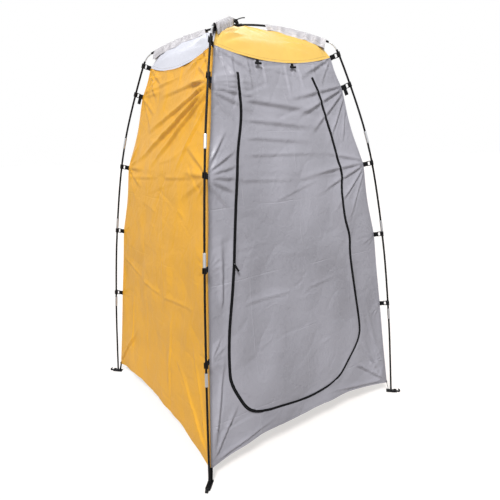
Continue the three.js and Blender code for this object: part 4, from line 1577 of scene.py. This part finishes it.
def make_pull():
    tab = box_piece("tab", (0.0085, 0.0022, 0.030), (0, 0, -0.0205), TAPE, 0.0009)
    end = box_piece("end", (0.0092, 0.0034, 0.006), (0, 0, -0.0335), PLASTIC, 0.0012)
    neck = box_piece("neck", (0.0045, 0.0026, 0.006), (0, 0, -0.0050), TAPE, 0.0009)
    for piece in (tab, neck):
        tape_uv(piece)
    bpy.ops.object.select_all(action="DESELECT")
    bpy.ops.mesh.primitive_torus_add(major_radius=0.0021, minor_radius=0.0007, major_segments=24,
                                     minor_segments=10, rotation=(0, math.pi / 2, 0))
    eye = settle(named("eye", STEEL))
    pull = smooth(join("pull_tab", tab, end, neck, eye), 45)
    lean = Matrix.Rotation(math.radians(-13), 4, "X") @ Matrix.Rotation(-PULL_TILT, 4, "Y")
    pull.data.transform(Matrix.Translation(Vector(hinges["pull_hinge"]["pos_m"])) @ lean)
    return pull


pull = make_pull()
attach(pull, "pull")
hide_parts("zip_pull")

# %% [markdown]
# ## Small moulded parts
# The feet, ground hooks and slider keep the shapes of the design, with their edges softened by a bevel and
# their real finishes.

# %% Finishes on the design's own parts
def dress(name, material, width):
    obj = frame["nodes"][name]
    obj.data.materials.clear()
    obj.data.materials.append(material)
    bevel = obj.modifiers.new("soft_edges", "BEVEL")
    bevel.width = width
    bevel.segments = 2
    bevel.limit_method = "ANGLE"
    bevel.angle_limit = math.radians(40)


for corner in CORNERS:
    dress(f"foot_{corner}", PLASTIC, 0.0008)
    dress(f"ground_hook_{corner}", PLASTIC, 0.0008)
dress("zip_slider", PLASTIC, 0.0004)
print("parts dressed", 2 * len(CORNERS) + 1)

# %% [markdown]
# ## Floor and surround
# A bright studio has a white floor under a white surround. Both look brighter to the camera than the light
# that they throw on the tent, because a fully white room would light the cloth from all sides and wash its
# folds out. A light path node tells the camera's rays from the others. The surround also stays white in
# reflections.

# %% Floor and surround
FLOOR_THROWN, FLOOR_ADDED = 0.18, 0.46
SURROUND_THROWN, SURROUND_SEEN = 0.12, 1.0

bpy.ops.object.select_all(action="DESELECT")
bpy.ops.mesh.primitive_plane_add(size=60, location=(0, 0, -0.0005))
FLOOR = finish("floor", (0.42, 0.40, 0.39), 0.9, tone=0.01, specular=0.1)
floor_tree = FLOOR.node_tree
lit = floor_tree.nodes["Principled BSDF"]
lit.inputs["Emission Color"].default_value = (1.0, 0.985, 0.97, 1)
by_camera = node(floor_tree, "LightPath").outputs["Is Camera Ray"]
added = times(floor_tree, by_camera, FLOOR_ADDED)
feed(floor_tree, lit.inputs["Emission Strength"], plus(floor_tree, added, FLOOR_THROWN))
floor = named("floor", FLOOR)

world = bpy.data.worlds.new("studio")
bpy.context.scene.world = world
world.use_nodes = True
sky = world.node_tree
surround = sky.nodes["Background"]
surround.inputs["Color"].default_value = (1.0, 1.0, 1.0, 1)
surround.inputs["Strength"].default_value = SURROUND_SEEN
glow = node(sky, "Background")
glow.inputs["Color"].default_value = (0.95, 0.97, 1.0, 1)
glow.inputs["Strength"].default_value = SURROUND_THROWN
seen = node(sky, "LightPath")
choice = node(sky, "MixShader")
white = math_node(sky, "MAXIMUM", seen.outputs["Is Camera Ray"], seen.outputs["Is Glossy Ray"])
for socket, source in zip(choice.inputs, (white, glow.outputs[0], surround.outputs[0])):
    feed(sky, socket, source)
feed(sky, sky.nodes["World Output"].inputs["Surface"], choice.outputs[0])
print("surround seen at", SURROUND_SEEN, "and throwing", SURROUND_THROWN)

# %% [markdown]
# ## Lights
# The key is a wide soft sun from high on the front left. It grazes the leaning walls, so that each fold
# shows. A weak sun from behind lifts the far side. A panel high above the near corner, kept out of the
# camera's sight, brightens the cloth there a little.

# %% Lights
def lamp(name, kind, direction, energy, place=(0, 0, 0)):
    light = linked(name, bpy.data.lights.new(name, kind))
    light.data.energy = energy
    light.location = place
    light.rotation_euler = Vector(direction).to_track_quat("-Z", "Y").to_euler()
    return light


key = lamp("key", "SUN", (0.50, 0.47, -0.85), 3.35)
key.data.angle = math.radians(14)
back = lamp("back", "SUN", (-0.5, -0.8, -0.6), 0.6)
back.data.angle = math.radians(40)
panel = lamp("panel", "AREA", (0.75, 1.15, -0.95), 9.0, place=(-0.9, -1.3, 2.6))
panel.data.size = 0.9
panel.visible_camera = False
bpy.context.scene.view_settings.view_transform = "Standard"
print("lights", [light.name for light in (key, back, panel)])

# %% Clear the patterns away
for pattern in (FERRULE, STRAP, LOOP):
    bpy.data.objects.remove(pattern, do_unlink=True)
